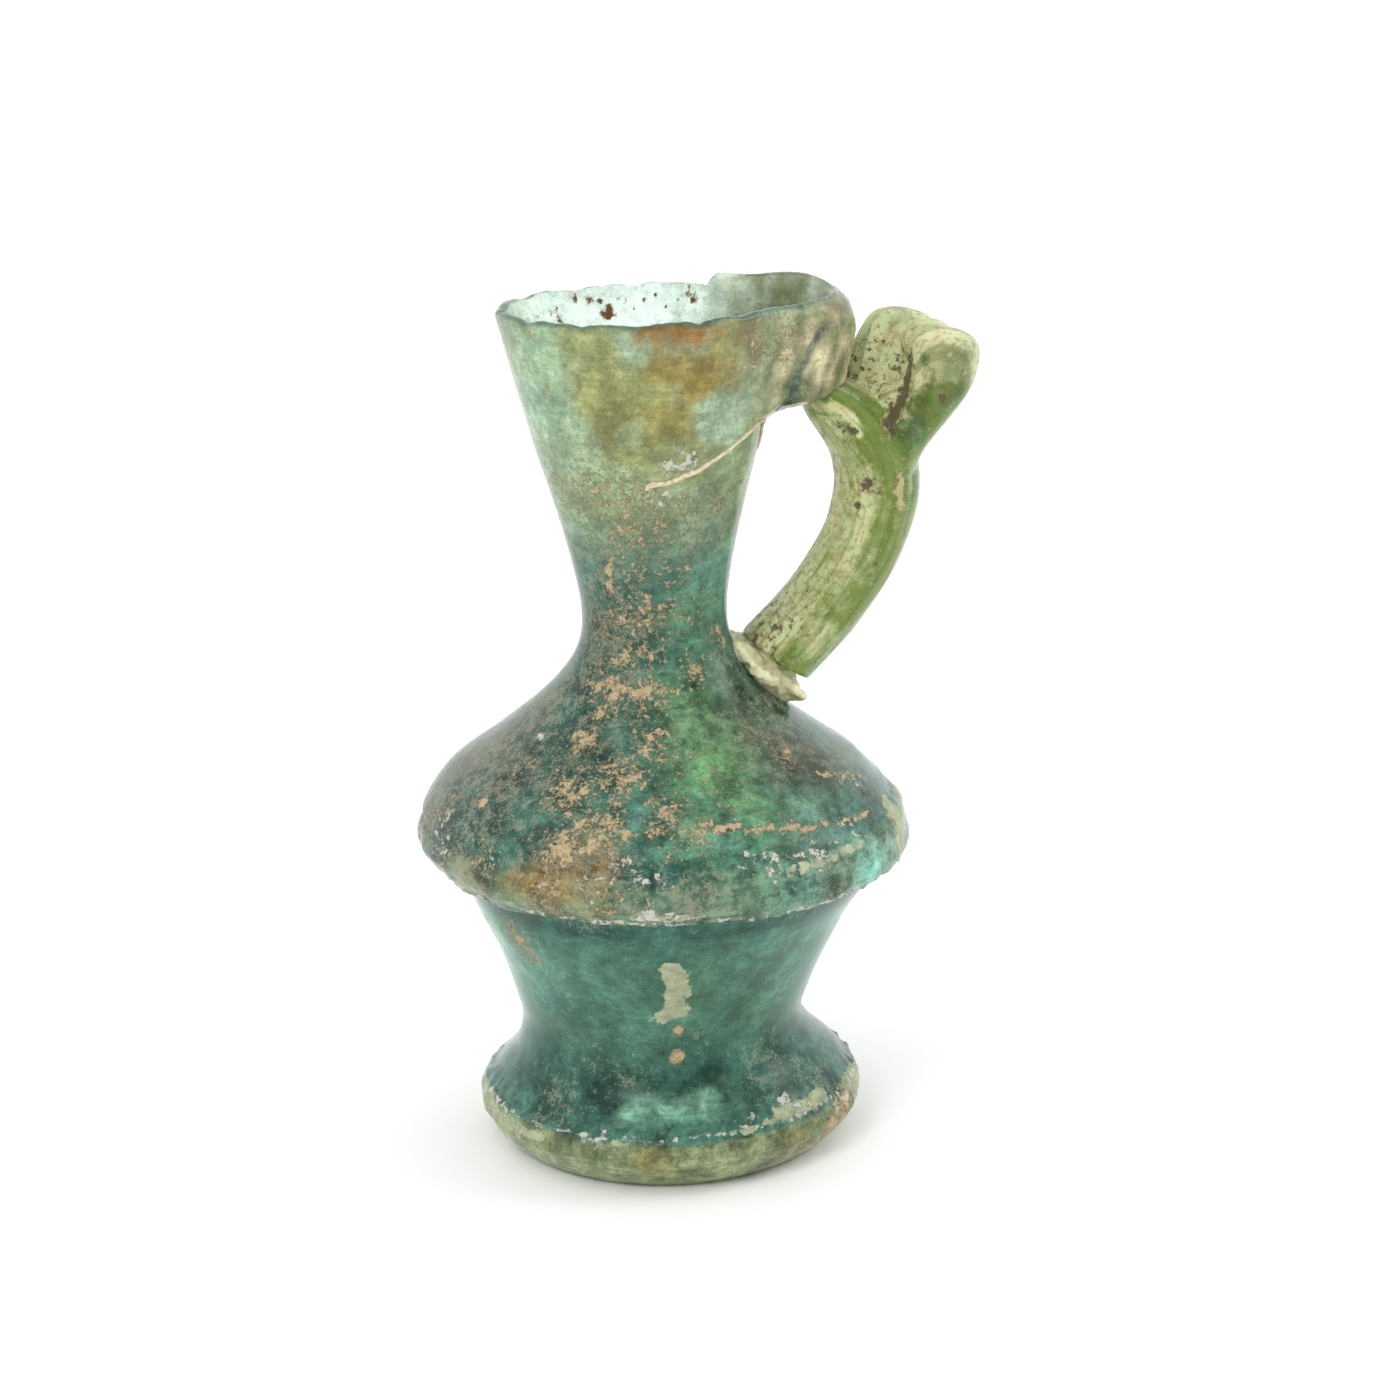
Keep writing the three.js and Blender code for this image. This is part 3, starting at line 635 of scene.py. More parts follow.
def handle_glass(colours):
    """Pale green glass drawn out in long lines, under a pale film with earthy specks in its creases."""
    sheet = Sheet("pale_green_glass")
    drawn = sheet.attribute("drawn", "Vector")
    lines = sheet.grain(0.8, 4, 0.6, stretch=(14, 1, 1), coords=drawn)
    broad = sheet.grain(2.6, 4, 0.6, stretch=(6, 1, 1), coords=drawn, move=(0.2, 0, 0))
    mottle = sheet.grain(1.6, 6, 0.66)
    fine = sheet.grain(0.3, 3, 0.6)
    film = sheet.math("ADD", sheet.attribute("film"), sheet.range(broad, 0.3, 0.7, -0.3, 0.3))
    film = sheet.range(sheet.math("ADD", film, sheet.range(mottle, 0.3, 0.7, -0.3, 0.3)), 0.0, 1.15)
    dirt = sheet.flakes(sheet.attribute("dirt"), sheet.grain(1.2, 6, 0.72), 0.12)
    crust = sheet.flakes(sheet.attribute("crust"), sheet.grain(0.9, 6, 0.74, move=(0.2, 0.1, 0)), 0.12)

    glass = sheet.mix(sheet.range(lines, 0.35, 0.7), colours.handle_glass, (0.22, 0.31, 0.06))
    glass = sheet.mix(sheet.range(broad, 0.52, 0.75, 0, 0.7), glass, (0.26, 0.46, 0.26))
    glass = sheet.mix(sheet.range(mottle, 0.45, 0.7, 0, 0.7), glass, (0.36, 0.34, 0.12))
    round_bar = sheet.math("ABSOLUTE", sheet.node("SeparateXYZ", {"Vector": drawn}).outputs[1])
    outer_edge = sheet.range(round_bar, 0.004, 0.0085, 0.8, 0)
    teal = sheet.math("MULTIPLY", outer_edge, sheet.range(broad, 0.4, 0.6))
    glass = sheet.mix(teal, glass, (0.12, 0.36, 0.2))
    pale = sheet.mix(sheet.range(mottle, 0.35, 0.65), colours.handle_pale, (0.6, 0.7, 0.38))
    cream = sheet.range(sheet.grain(3, 4, 0.6, move=(0.6, 0, 0)), 0.45, 0.6)
    pale = sheet.mix(cream, pale, (0.78, 0.7, 0.4))
    pale = sheet.mix(sheet.range(lines, 0.5, 0.66, 0, 0.85), pale, (0.46, 0.38, 0.2))
    film = sheet.math("MULTIPLY", film, sheet.range(lines, 0.4, 0.75, 1, 0.7))
    colour = sheet.mix(sheet.math("MULTIPLY", film, 0.88), glass, pale)
    colour = sheet.mix(sheet.math("MULTIPLY", crust, 0.9), colour, colours.crust_tan)
    colour = sheet.mix(sheet.math("MULTIPLY", dirt, 0.92), colour, colours.dark_dirt)
    solid = sheet.math("MAXIMUM", dirt, crust)
    cover = sheet.math("MAXIMUM", solid, sheet.math("MULTIPLY", film, 0.75))
    shader = sheet.shader
    sheet.feed(shader.inputs["Base Color"], colour)
    sheet.feed(shader.inputs["Transmission Weight"],
               sheet.math("MULTIPLY", sheet.math("SUBTRACT", 1.0, cover), 0.72))
    smoothest = sheet.range(mottle, 0.3, 0.7, 0.06, 0.2)
    sheet.feed(shader.inputs["Roughness"],
               sheet.math("MAXIMUM", smoothest, sheet.math("MULTIPLY", cover, 0.6)))
    relief = sheet.math("ADD", sheet.math("MULTIPLY", lines, 0.5), sheet.math("MULTIPLY", crust, 0.6))
    relief = sheet.math("ADD", relief, sheet.math("MULTIPLY", fine, 0.12))
    sheet.feed(shader.inputs["Normal"], sheet.bump(relief, 0.12, 0.8))
    shader.inputs["IOR"].default_value = 1.5
    shader.inputs["Specular Tint"].default_value = (0.5, 0.55, 0.4, 1)
    thick_glass(sheet, (0.35, 0.6, 0.05), 130)
    return sheet.material


def glue_finish(colours):
    """Waxy yellow glue with dust in its hollows."""
    sheet = Sheet("old_adhesive")
    clouds = sheet.grain(1.6, 5, 0.62)
    fine = sheet.grain(0.3, 3, 0.6)
    colour = sheet.mix(sheet.range(clouds, 0.42, 0.68), colours.adhesive, (0.66, 0.62, 0.34))
    colour = sheet.mix(sheet.range(fine, 0.58, 0.75, 0, 0.5), colour, colours.crust_tan)
    shader = sheet.shader
    sheet.feed(shader.inputs["Base Color"], colour)
    sheet.feed(shader.inputs["Roughness"], sheet.range(clouds, 0.3, 0.7, 0.3, 0.6))
    relief = sheet.math("ADD", clouds, sheet.math("MULTIPLY", fine, 0.3))
    sheet.feed(shader.inputs["Normal"], sheet.bump(relief, 0.25, 0.8))
    shader.inputs["Transmission Weight"].default_value = 0.15
    return sheet.material


def root_finish(colours):
    sheet = Sheet("root_trace")
    fine = sheet.grain(0.5, 4, 0.6)
    colour = sheet.mix(sheet.range(fine, 0.4, 0.65), (0.74, 0.64, 0.46), colours.crust_tan)
    sheet.feed(sheet.shader.inputs["Base Color"], colour)
    sheet.feed(sheet.shader.inputs["Normal"], sheet.bump(fine, 0.1, 0.8))
    sheet.shader.inputs["Roughness"].default_value = 0.85
    return sheet.material


def bar(stations, steps, sides, roundness):
    """A bar of soft glass along stations of [x, y, z, half thickness, half width], with round ends."""
    stations = np.array(stations, float)
    centres = curve_through(stations[:, :3], steps)
    sizes = curve_through(stations[:, 3:], steps)
    tangents = np.gradient(centres, axis=0)
    tangents /= np.linalg.norm(tangents, axis=1)[:, None]
    side = np.array([0, 1, 0]) - tangents * tangents[:, 1:2]
    side /= np.linalg.norm(side, axis=1)[:, None]
    across = np.cross(tangents, side)
    along = np.linspace(0, 1, steps + 1)
    to_end = np.minimum(1, np.minimum(along, 1 - along) / 0.16 + 0.02)
    dome = np.sqrt(1 - (1 - to_end) ** 2) ** (roundness * 2)
    turn = np.linspace(0, 2 * math.pi, sides, endpoint=False)
    thick, wide = (sizes[:, 0] * dome)[:, None, None], (sizes[:, 1] * dome)[:, None, None]
    rings = (centres[:, None] + across[:, None] * thick * np.cos(turn)[None, :, None]
             + side[:, None] * wide * np.sin(turn)[None, :, None])
    points = np.vstack([rings.reshape(-1, 3), centres[:1], centres[-1:]])
    faces = []
    for i in range(steps):
        for j in range(sides):
            k = (j + 1) % sides
            faces.append((i * sides + j, i * sides + k, (i + 1) * sides + k, (i + 1) * sides + j))
    first, last = len(points) - 2, len(points) - 1
    faces += [(first, (j + 1) % sides, j) for j in range(sides)]
    top = steps * sides
    faces += [(last, top + j, top + (j + 1) % sides) for j in range(sides)]
    return points, faces, centres


def ellipsoid(centre, size, slope):
    """A closed ellipsoid, turned about Y by slope."""
    ball = bmesh.new()
    bmesh.ops.create_icosphere(ball, subdivisions=4, radius=1)
    turn = Matrix.Rotation(slope, 4, "Y") @ Matrix.Diagonal((*size, 1))
    ball.verts.index_update()
    points = [tuple(turn @ v.co + Vector(centre)) for v in ball.verts]
    faces = [tuple(v.index for v in f.verts) for f in ball.faces]
    ball.free()
    return points, faces


def grown_together(name, bodies, pitch_mm, rounds):
    """One closed skin over several closed meshes, softened where they meet."""
    made = bmesh.new()
    for points, faces in bodies:
        corners = [made.verts.new(Vector(p) * MM + Vector((AXIS_X * MM, 0, 0))) for p in points]
        for face in faces:
            made.faces.new([corners[i] for i in face])
    bmesh.ops.recalc_face_normals(made, faces=made.faces)
    mesh = bpy.data.meshes.new(name)
    made.to_mesh(mesh)
    made.free()
    obj = bpy.data.objects.new(name, mesh)
    bpy.context.collection.objects.link(obj)
    skin = obj.modifiers.new("skin", "REMESH")
    skin.mode = "VOXEL"
    skin.voxel_size = pitch_mm * MM
    soft = obj.modifiers.new("soften", "SMOOTH")
    soft.factor = 0.5
    soft.iterations = rounds
    bpy.context.view_layer.update()
    done = bpy.data.meshes.new_from_object(obj.evaluated_get(bpy.context.evaluated_depsgraph_get()))
    obj.modifiers.clear()
    obj.data = done
    bpy.data.meshes.remove(mesh)
    done.name = name
    done.shade_smooth()
    return obj


def cut_below(points, faces, centre, slope):
    """A mesh without what lies below a sloping plane through centre, closed again."""
    made = bmesh.new()
    corners = [made.verts.new(p) for p in points]
    for face in faces:
        made.faces.new([corners[i] for i in face])
    normal = Vector((math.sin(slope), 0, math.cos(slope)))
    everything = made.verts[:] + made.edges[:] + made.faces[:]
    bmesh.ops.bisect_plane(made, geom=everything, plane_co=Vector(centre), plane_no=normal,
                           clear_inner=True)
    bmesh.ops.holes_fill(made, edges=[e for e in made.edges if e.is_boundary], sides=0)
    made.verts.index_update()
    result = [tuple(v.co) for v in made.verts], [tuple(v.index for v in f.verts) for f in made.faces]
    made.free()
    return result


def dress(obj, material, slot, *nodes):
    """Gives a piece its finish, and its place in the frame."""
    obj.data.materials.clear()
    obj.data.materials.append(material)
    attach(obj, "root")
    if nodes:
        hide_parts(*nodes)


class JUG_OT_vessel(Operator):
    """Blow the vessel: foot, lower body, collar, shoulder, neck and mouth, with their wear and crust"""

    bl_idname = "jug.vessel"
    bl_label = "Vessel"

    def execute(self, context):
        s, colours = context.scene.jug_sizes, context.scene.jug_colours
        outside, inside = vessel_profile(s)
        profile = np.vstack([outside, inside])[1:-1]
        rows, columns = len(profile), s.columns
        turn = np.linspace(-math.pi, math.pi, columns, endpoint=False)
        angle = np.append(np.tile(turn, rows), [0, 0])
        radius = np.append(np.repeat(profile[:, 0], columns), [0, 0])
        height = np.append(np.repeat(profile[:, 1], columns), [outside[0, 1], inside[-1, 1]])
        row = np.arange(rows)
        outer = np.append(np.repeat(row < len(outside) - INNER_RIM_ROWS, columns), [True, False])
        below = np.append(np.repeat(row < UNDER_ROWS, columns), [True, False])
        faces = []
        for i in range(rows - 1):
            for j in range(columns):
                k = (j + 1) % columns
                lower, upper = i * columns, (i + 1) * columns
                faces.append((lower + j, lower + k, upper + k, upper + j))
        under, floor = rows * columns, rows * columns + 1
        faces += [(under, (j + 1) % columns, j) for j in range(columns)]
        top = (rows - 1) * columns
        faces += [(floor, top + j, top + (j + 1) % columns) for j in range(columns)]
        base = place(s, radius, angle, height, outer)
        # The crease above the collar sits higher towards the handle
        lean = -0.35 + 0.75 * np.cos(angle + math.radians(25))
        base[:, 2] += outer * lean * smooth(40, 46, height) * (1 - smooth(46, 54, height))
        base[:, 2] += rim_wear(s, base, angle, height)
        obj = mesh_object("vessel_glass", base, faces)
        points, normals = read_points(obj.data)
        self.raise_relief(obj.data, points, normals, angle, height, radius, outer, below)
        self.paint_weather(obj.data, colours, read_points(obj.data)[0], angle, height, radius, outer, below)
        dress(obj, vessel_glass(colours), "blue_green_glass", "vessel")
        return {"FINISHED"}

    def raise_relief(self, mesh, points, normals, angle, height, radius, outer, below):
        """Moves the skin in and out by tenths of a millimetre, as the wear and the crust have left it."""
        skin = outer & ~below & (height > 0.6)
        ragged = raggedness(points)
        crust = marks(points, ragged, angle, height, skin, CRUST_MARKS)
        scale = marks(points, ragged, angle, height, skin, SCALE_MARKS)
        coarse, small = ripple(points, 4, 11), ripple(points, 1.3, 17)
        collar = smooth(38.8, 40, height) * (1 - smooth(45, 47, height))
        edge = bell(height, 39.4, 0.7) * skin
        foot = smooth(0.8, 2.5, height) * (1 - smooth(8, 10, height))
        lump = np.clip(lump_amount(angle, height) * 3, 0, 1)
        lift = 0.1 * ripple(points, 11, 2) * skin
        lift += collar * (0.3 * coarse + 0.12 * small - 0.12) + edge * (0.35 * small + 0.3 * coarse - 0.2)
        lift += foot * (0.3 * coarse + 0.2 * small - 0.2)
        lift += lump * (0.5 * ripple(points, 5, 21) + 0.25 * small - 0.15)
        lift += 0.5 * np.clip(crust - 0.3, 0, 1) * (0.4 + small)
        lift += 0.3 * np.clip(scale - 0.3, 0, 1) * (1 + small)
        lift += 0.16 * self.foot_line(points, angle, height, radius) * (1 + small)
        lift -= 0.5 * self.crack(points)
        pontil = below * 0.45 * bell(radius, 6.2, 0.7) * (1 + 0.6 * ripple(points, 2, 31))
        hollow = below * smooth(0.3, 1.5, height) * (0.15 * coarse + 0.08 * small)
        write_points(mesh, points + normals * (lift * skin + pontil + hollow)[:, None])

    def foot_line(self, points, angle, height, radius):
        """1 along the ragged line where the foot's crusted rim begins."""
        line = 7.4 + 0.5 * np.cos(angle + 1.48)
        line = line + 0.6 * ripple(points, 4, 11) + 0.35 * ripple(points, 1.3, 17)
        return bell(height, line, 0.4 + 0.25 * ripple(points, 5, 61)) * (radius > 20)

    def crack(self, points):
        """1 on the crack that runs across the front of the lump on the rim."""
        path = np.array([(22.6, 108.4), (20.9, 106.4), (19.3, 103), (17.7, 99.4), (16.6, 98.2)])
        near = np.full(len(points), 99.0)
        wavy = points[:, ::2] + 0.3 * np.column_stack([ripple(points, 1.6, seed) for seed in (3, 9)])
        for a, b in zip(path, path[1:]):
            t = np.clip((wavy - a) @ (b - a) / ((b - a) @ (b - a)), 0, 1)[:, None]
            near = np.minimum(near, np.linalg.norm(wavy - (a + t * (b - a)), axis=1))
        return bell(near, 0, bpy.context.scene.jug_sizes.crack_width / MM) * (points[:, 1] < -3)

    def glass_bands(self, colours, height, wavy):
        """The tint of the glass from the foot's rim up to the mouth, with wandering borders, and a painted
        shade under the collar.
        """
        olive, teal = np.array(colours.olive_glass), np.array(colours.teal_glass)
        deep, sage = np.array(colours.deep_glass), np.array(colours.sage_glass)
        collar = 0.32 * olive + 0.4 * teal
        dark_teal = 0.4 * teal + 0.6 * deep
        shoulder = 0.2 * teal + 0.8 * deep
        bands = [
            (0, 1.3 * olive), (6.9, 1.2 * olive), (7.5, dark_teal), (13, dark_teal), (20, teal), (30, teal),
            # Painted shade: under the overhanging collar the tint darkens to dark teal at 35 mm and to deep
            # glass from 36.5 to 39 mm
            (35, dark_teal), (36.5, deep), (39, deep), (39.5, collar), (44.6, collar), (46.4, shoulder),
            (49, dark_teal), (56, shoulder), (66, shoulder), (72, dark_teal), (79, 0.75 * teal), (88, sage),
            (112, sage)]
        return ramp_colours(bands, np.where(height < 46, height + 0.25 * (wavy - height), wavy))

    def paint_weather(self, mesh, colours, points, angle, height, radius, outer, below):
        """Stores where the glass is clear, tinted, stained, crusted and scaled, and where its tint holds
        painted shade, a painted shadow of the handle and a painted glow.
        """
        shown = outer & ~below
        stained = 0.5 + 0.5 * np.cos(angle - STAINED_SIDE)
        ragged = raggedness(points)
        wavy = height + 1.2 * ripple(points, 6, 51) + 0.5 * ripple(points, 2, 53)
        back = smooth(96, 104, height) * (1 - smooth(0.25, 0.6, stained))
        left = smooth(0.8, 1, 0.5 - 0.5 * np.cos(angle - math.radians(8))) * smooth(40, 45, height)
        lump = np.clip(lump_amount(angle, height) * 4, 0, 1) * outer
        handle_shadow = bell(angle, math.radians(22), math.radians(26)) * smooth(96, 104, height)

        def strength(spots, edge=2.0, side=shown):
            return marks(points, ragged, angle, height, side, spots, edge)

        outside = self.glass_bands(colours, height, wavy)
        # Painted shade: from 40 mm up, the collar's and the shoulder's tint is darkened by up to half
        # towards the left silhouette, fading out between 60 and 74 mm
        outside = outside * (1 - 0.5 * left * (1 - smooth(60, 74, height)))[:, None]
        outside = blend_colours(outside, colours.clear_glass, back)
        for name, edge, spots in TINT_MARKS:
            outside = blend_colours(outside, getattr(colours, name), strength(spots, edge))
        streaks = ripple(points * (0.5, 0.5, 0.5) + points[:, :1] * (0.2, 0, -0.6), 1.6, 71)
        for colour, amount in (
                (colours.lump_glass, lump),
                (LUMP_SHADE, lump * smooth(0, 0.4, streaks)),
                (LUMP_LIGHT, lump * smooth(0.05, 0.4, -streaks)),
                (BROWN_DIRT, strength(BROWN_MARKS)),
                (CRACK_TINT, 0.95 * self.crack(points))):
            outside = blend_colours(outside, colour, amount)
        clean = colours.clear_glass
        inner = ramp_colours([(13, (0.3, 0.5, 0.38)), (60, (0.35, 0.55, 0.42)), (90, (0.75, 0.88, 0.76)),
                              (100, clean), (112, clean)], height)
        patchy = 0.95 + 0.5 * ripple(points * (1, 1, 0.3), 2, 5)
        # Painted shadow of the handle: the inside of the mouth behind the handle's lump is darkened to a
        # dull olive
        inner = blend_colours(inner, (0.22, 0.24, 0.12), handle_shadow * patchy)
        raised = 2 * smooth(95, 112, height) * smooth(-0.1, 0.35, angle) * (1 - smooth(0.8, 0.92, angle))
        rim = bell(height - raised, 112, 0.5) * (0.35 + 0.65 * smooth(0.3, 0.7, stained))
        tint = np.where(outer[:, None], outside, inner)
        # The stored tint holds the glass's colours together with the painted shade, the painted shadow and
        # the painted glow
        paint(mesh, "glass_and_painted_light_tint", blend_colours(tint, RIM_TINT, 0.85 * rim))
        paint(mesh, "mottled", np.interp(wavy, [5, 9, 14, 18, 34, 39, 44, 62, 74, 90],
                                         [1, 1.2, 1, 0.6, 0.7, 1.2, 1.2, 1.2, 0.9, 0.7]))

        dirty = strength(GRIME_MARKS)
        clear = np.interp(height, [0, 7, 9, 12, 22, 33, 37, 39, 46, 48, 60, 80, 100],
                          [0.25, 0.3, 0.45, 0.5, 0.55, 0.5, 0.4, 0.15, 0.15, 0.3, 0.33, 0.26, 0.22])
        clear = clear + (0.95 - clear) * np.clip(back, 0, 1)
        clear = clear + 0.35 * strength(PEARL_GLOW_MARKS) * (height > 14)
        clear = np.where(outer, clear * (1 - 0.9 * lump), 0.9 - 0.6 * handle_shadow)
        paint(mesh, "clearness", clear * (1 - 0.6 * np.clip(1.3 * dirty, 0, 1)))
        paint(mesh, "pale", 1.6 * strength(PALE_MARKS, 3) - 0.45)

        general = -0.4 + 0.6 * stained * (1 - smooth(76, 90, height)) * smooth(45, 48, height) + 0.1 * below
        crust = np.maximum(spread(strength(CRUST_MARKS)), general) - 0.3 * back - 0.12 * left
        broken = 0.5 + 0.35 * ripple(points, 7, 63)
        foot_line = self.foot_line(points, angle, height, radius)
        scale = np.maximum(strength(SCALE_MARKS), broken * foot_line * shown)
        scale = np.maximum(scale, broken * bell(height, 39.4, 0.6) * (radius > 29) * outer)
        grime = np.maximum(spread(dirty), -0.4 + 0.55 * lump + 0.6 * below) - 0.3 * back - 0.1 * left
        specks = strength(SPECK_MARKS, 4, ~outer) - 0.02
        paint(mesh, "crust", np.where(outer, crust, -0.3))
        paint(mesh, "lime_scale", np.where(outer, spread(scale) - 0.2 * back, -0.3))
        paint(mesh, "grime", np.where(outer, grime, -0.2))
        paint(mesh, "specks", np.where(outer, -0.5, specks))


class JUG_OT_handle(Operator):
    """Draw the handle: a thick bar with a folded thumb rest, cut off at its broken foot"""

    bl_idname = "jug.handle"
    bl_label = "Handle"

    BREAK = (16.9, 0, 64.2)
    BREAK_SLOPE = math.radians(37)
    # Pits on the camera's side: x, y, z, reach and depth in mm
    PITS = [(25.6, -5.9, 94.9, 1.0, 0.9), (28.2, -5.5, 88, 0.9, 0.8), (27, -4.8, 85, 0.5, 0.5),
            (37.5, -8, 98.9, 0.7, 0.4), (31.5, -5, 94.6, 1, 0.7), (33.5, -4.7, 100, 0.7, 0.5)]

    # The crease between the two lobes of the thumb rest
    CREASE = [(31.1, -4.9, 95.7), (31.9, -5.4, 96.8), (33.3, -5.1, 99.9), (34.5, -3.9, 102.2),
              (36.7, 0.8, 104.6), (38.1, -5.2, 105.5)]
    # The torn flap of film under the lump, and the tan streaks on the bar
    FLAP = [(21.1, -1.5, 98.2), (24.1, -5.2, 98.1), (26.3, -6, 96.6), (27, -6.2, 94.6)]
    TAN_OUTSIDE = [(32.4, -6, 84.6), (32.6, -6.2, 88.5)]
    TAN_INSIDE = [(29.4, -6.1, 86.8), (28.4, -5.8, 87.6)]

    def execute(self, context):
        s, colours = context.scene.jug_sizes, context.scene.jug_colours
        t, w = s.bar_thickness / MM, s.bar_width / MM
        stem, stem_faces, spine = bar(
            [[11.9, 1.8, 58.9, t, w], [16.9, 1.3, 64.2, t, w], [23.4, 0.7, 71.2, t, w],
             [28.2, 0.2, 78.6, t + 0.1, w], [30.5, 0, 85.6, t + 0.3, w], [30, 0, 91, t + 0.2, w + 0.1],
             [26.9, 0, 95.7, t - 0.9, w], [21.4, 0, 100.4, t - 1.6, w - 0.5]], 60, 48, 0.5)
        roll, roll_faces, _ = bar(
            [[30.6, -1.4, 87.2, 3.9, 5], [33, -2.2, 93, 3.5, 5], [36.2, -3, 98, 3.9, 4.9],
             [38.6, -3.4, 102, 4.4, 4.8], [39.5, -3.2, 107.4, 4.4, 4.5]], 36, 40, 0.75)
        leaf, leaf_faces, _ = bar(
            [[30.2, 1.8, 89, 4.4, 4.2], [31.2, 2.8, 95, 5.6, 3.7], [33.7, 3.6, 100.6, 6.7, 3.4],
             [37.6, 4, 108.4, 6, 3.1]], 36, 40, 0.7)
        web, web_faces, _ = bar([[30.6, 0, 86, 4.6, 5.2], [32, 0, 91, 4.4, 5.4], [33.6, -0.4, 96, 4, 5],
                                 [34.6, -0.6, 100, 3.4, 4.4]], 20, 32, 0.6)
        cut = cut_below(stem, stem_faces, self.BREAK, self.BREAK_SLOPE)
        fold = ellipsoid((37.4, -0.6, 105), (3.6, 3.8, 3.2), 0)
        bodies = [cut, (roll, roll_faces), (leaf, leaf_faces), (web, web_faces), fold]
        obj = grown_together("handle_glass", bodies, 0.34, 6)
        points, normals = read_points(obj.data)
        along, around = self.drawn_lines(points, spine)
        lines = np.column_stack([along / 6, around / 1.1, np.zeros(len(points))])
        lift = 0.12 * ripple(points, 6, 4) + 0.06 * ripple(lines, 1, 6) - 0.05
        for x, y, z, reach, depth in self.PITS:
            far = np.linalg.norm(points - (x, y, z), axis=1)
            lift -= depth * np.exp(-((far / reach) ** 2)) * 0.8
        write_points(obj.data, points + normals * lift[:, None])
        self.paint_weather(obj.data, read_points(obj.data)[0], along, around)
        dress(obj, handle_glass(colours), "pale_green_glass", "handle")
        return {"FINISHED"}

    def drawn_lines(self, points, spine):
        """How far along the bar each point is, and how far round it, in mm."""
        steps = np.linalg.norm(np.diff(spine, axis=0), axis=1)
        length = np.append(0, np.cumsum(steps))
        gaps = np.linalg.norm(points[:, None, ::2] - spine[None, :, ::2], axis=2)
        nearest = np.argmin(gaps, axis=1)
        tangents = np.gradient(spine, axis=0)
        tangents /= np.linalg.norm(tangents, axis=1)[:, None]
        away = points - spine[nearest]
        outward = away[:, 0] * tangents[nearest, 2] - away[:, 2] * tangents[nearest, 0]
        along = length[nearest] + np.sum(away * tangents[nearest], axis=1)
        return along, np.arctan2(away[:, 1], outward) * 6

    def near_path(self, points, path):
        """Distance of every point from a line through a few places, in mm."""
        near = np.full(len(points), 99.0)
        for a, b in zip(np.array(path), np.array(path[1:])):
            t = np.clip((points - a) @ (b - a) / ((b - a) @ (b - a)), 0, 1)[:, None]
            near = np.minimum(near, np.linalg.norm(points - (a + t * (b - a)), axis=1))
        return near

    def paint_weather(self, mesh, points, along, around):
        """The side towards the neck is filmed and specked, and dirt fills the thumb rest's crease."""
        paint(mesh, "drawn", np.column_stack([along, around, np.zeros(len(points))]) * MM)
        x, y, z = points.T

        def near(place, reach):
            return bell(np.linalg.norm(points - place, axis=1), 0, reach)

        inward = smooth(7.5, 14, np.abs(around)) * (z < 97)
        crease_x = np.interp(z, [94, 96.8, 99.9, 102.2, 104.6, 110], [30.6, 31.9, 33.3, 34.8, 37, 38])
        left = smooth(-0.3, 0.5, crease_x - x)
        face = left * smooth(-0.5, 0.5, z - 101.2 + 0.7 * (x - 25.6)) * (1 - smooth(104, 108, z))
        face = face * smooth(-6.5, -4, y) * (1 - smooth(1, 5, y))
        roll = smooth(101.5, 106, z + 1.5 * ripple(points, 3, 77))
        roll = np.maximum(smooth(99, 102, z) * (1 - left), roll)
        crease = self.near_path(points, self.CREASE)
        swirl = bell(np.linalg.norm(points - (22.3, -6, 66.9), axis=1), 2, 1.2)
        flap = bell(self.near_path(points, self.FLAP), 0, 0.7)
        green = near((29.5, -5, 94), 3.5) + 0.35 * near((37, -7, 99), 3)
        total = 0.16 + 0.8 * inward + 0.55 * roll + 0.6 * bell(crease, 1.9, 1) + 1.1 * face
        total += 0.5 * swirl + 0.6 * near((39, 1, 107), 4)
        total += 1.5 * flap - 0.9 * green
        paint(mesh, "film", np.clip(total + 0.2 * ripple(points, 5, 9), 0, 1.2))

        dirt = 0.9 * bell(crease, 0, 0.85) + 0.22 * face + 0.2 * inward * (1 - smooth(70, 78, z))
        for px, py, pz, reach, _ in self.PITS:
            dirt = np.maximum(dirt, 1.1 * near((px, py, pz), reach))
        paint(mesh, "dirt", dirt + 0.1)
        crust = 0.12 + 0.2 * inward + 0.1 * face + 0.12 * roll
        for amount in (0.7 * bell(self.near_path(points, self.TAN_OUTSIDE), 0, 1.1),
                       0.6 * bell(self.near_path(points, self.TAN_INSIDE), 0, 1.2),
                       0.62 * bell(crease, 1, 0.5)):
            crust = np.maximum(crust, amount)
        paint(mesh, "crust", crust)


class JUG_OT_adhesive(Operator):
    """Lay the old glue under the handle's broken foot, with a torn drip"""

    bl_idname = "jug.adhesive"
    bl_label = "Adhesive"

    def execute(self, context):
        colours = context.scene.jug_colours
        lumps = [((14.9, 1.2, 62.8), (6.8, 6, 3)), ((18.7, -2.8, 60.3), (2, 2.2, 1.1)),
                 ((11.8, -2.6, 66), (2.2, 2.6, 1.6)), ((19.6, 0.6, 59.6), (1.6, 1.8, 1)),
                 ((14.4, -4.6, 63.2), (2.6, 1.6, 1.2))]
        bodies = [ellipsoid(centre, size, math.radians(40.5)) for centre, size in lumps]
        obj = grown_together("old_glue", bodies, 0.3, 3)
        points, normals = read_points(obj.data)
        lift = 0.7 * ripple(points, 2.2, 2) + 0.35 * ripple(points, 0.8, 5) - 0.3
        write_points(obj.data, points + normals * lift[:, None])
        dress(obj, glue_finish(colours), "old_adhesive", "adhesive")
        return {"FINISHED"}


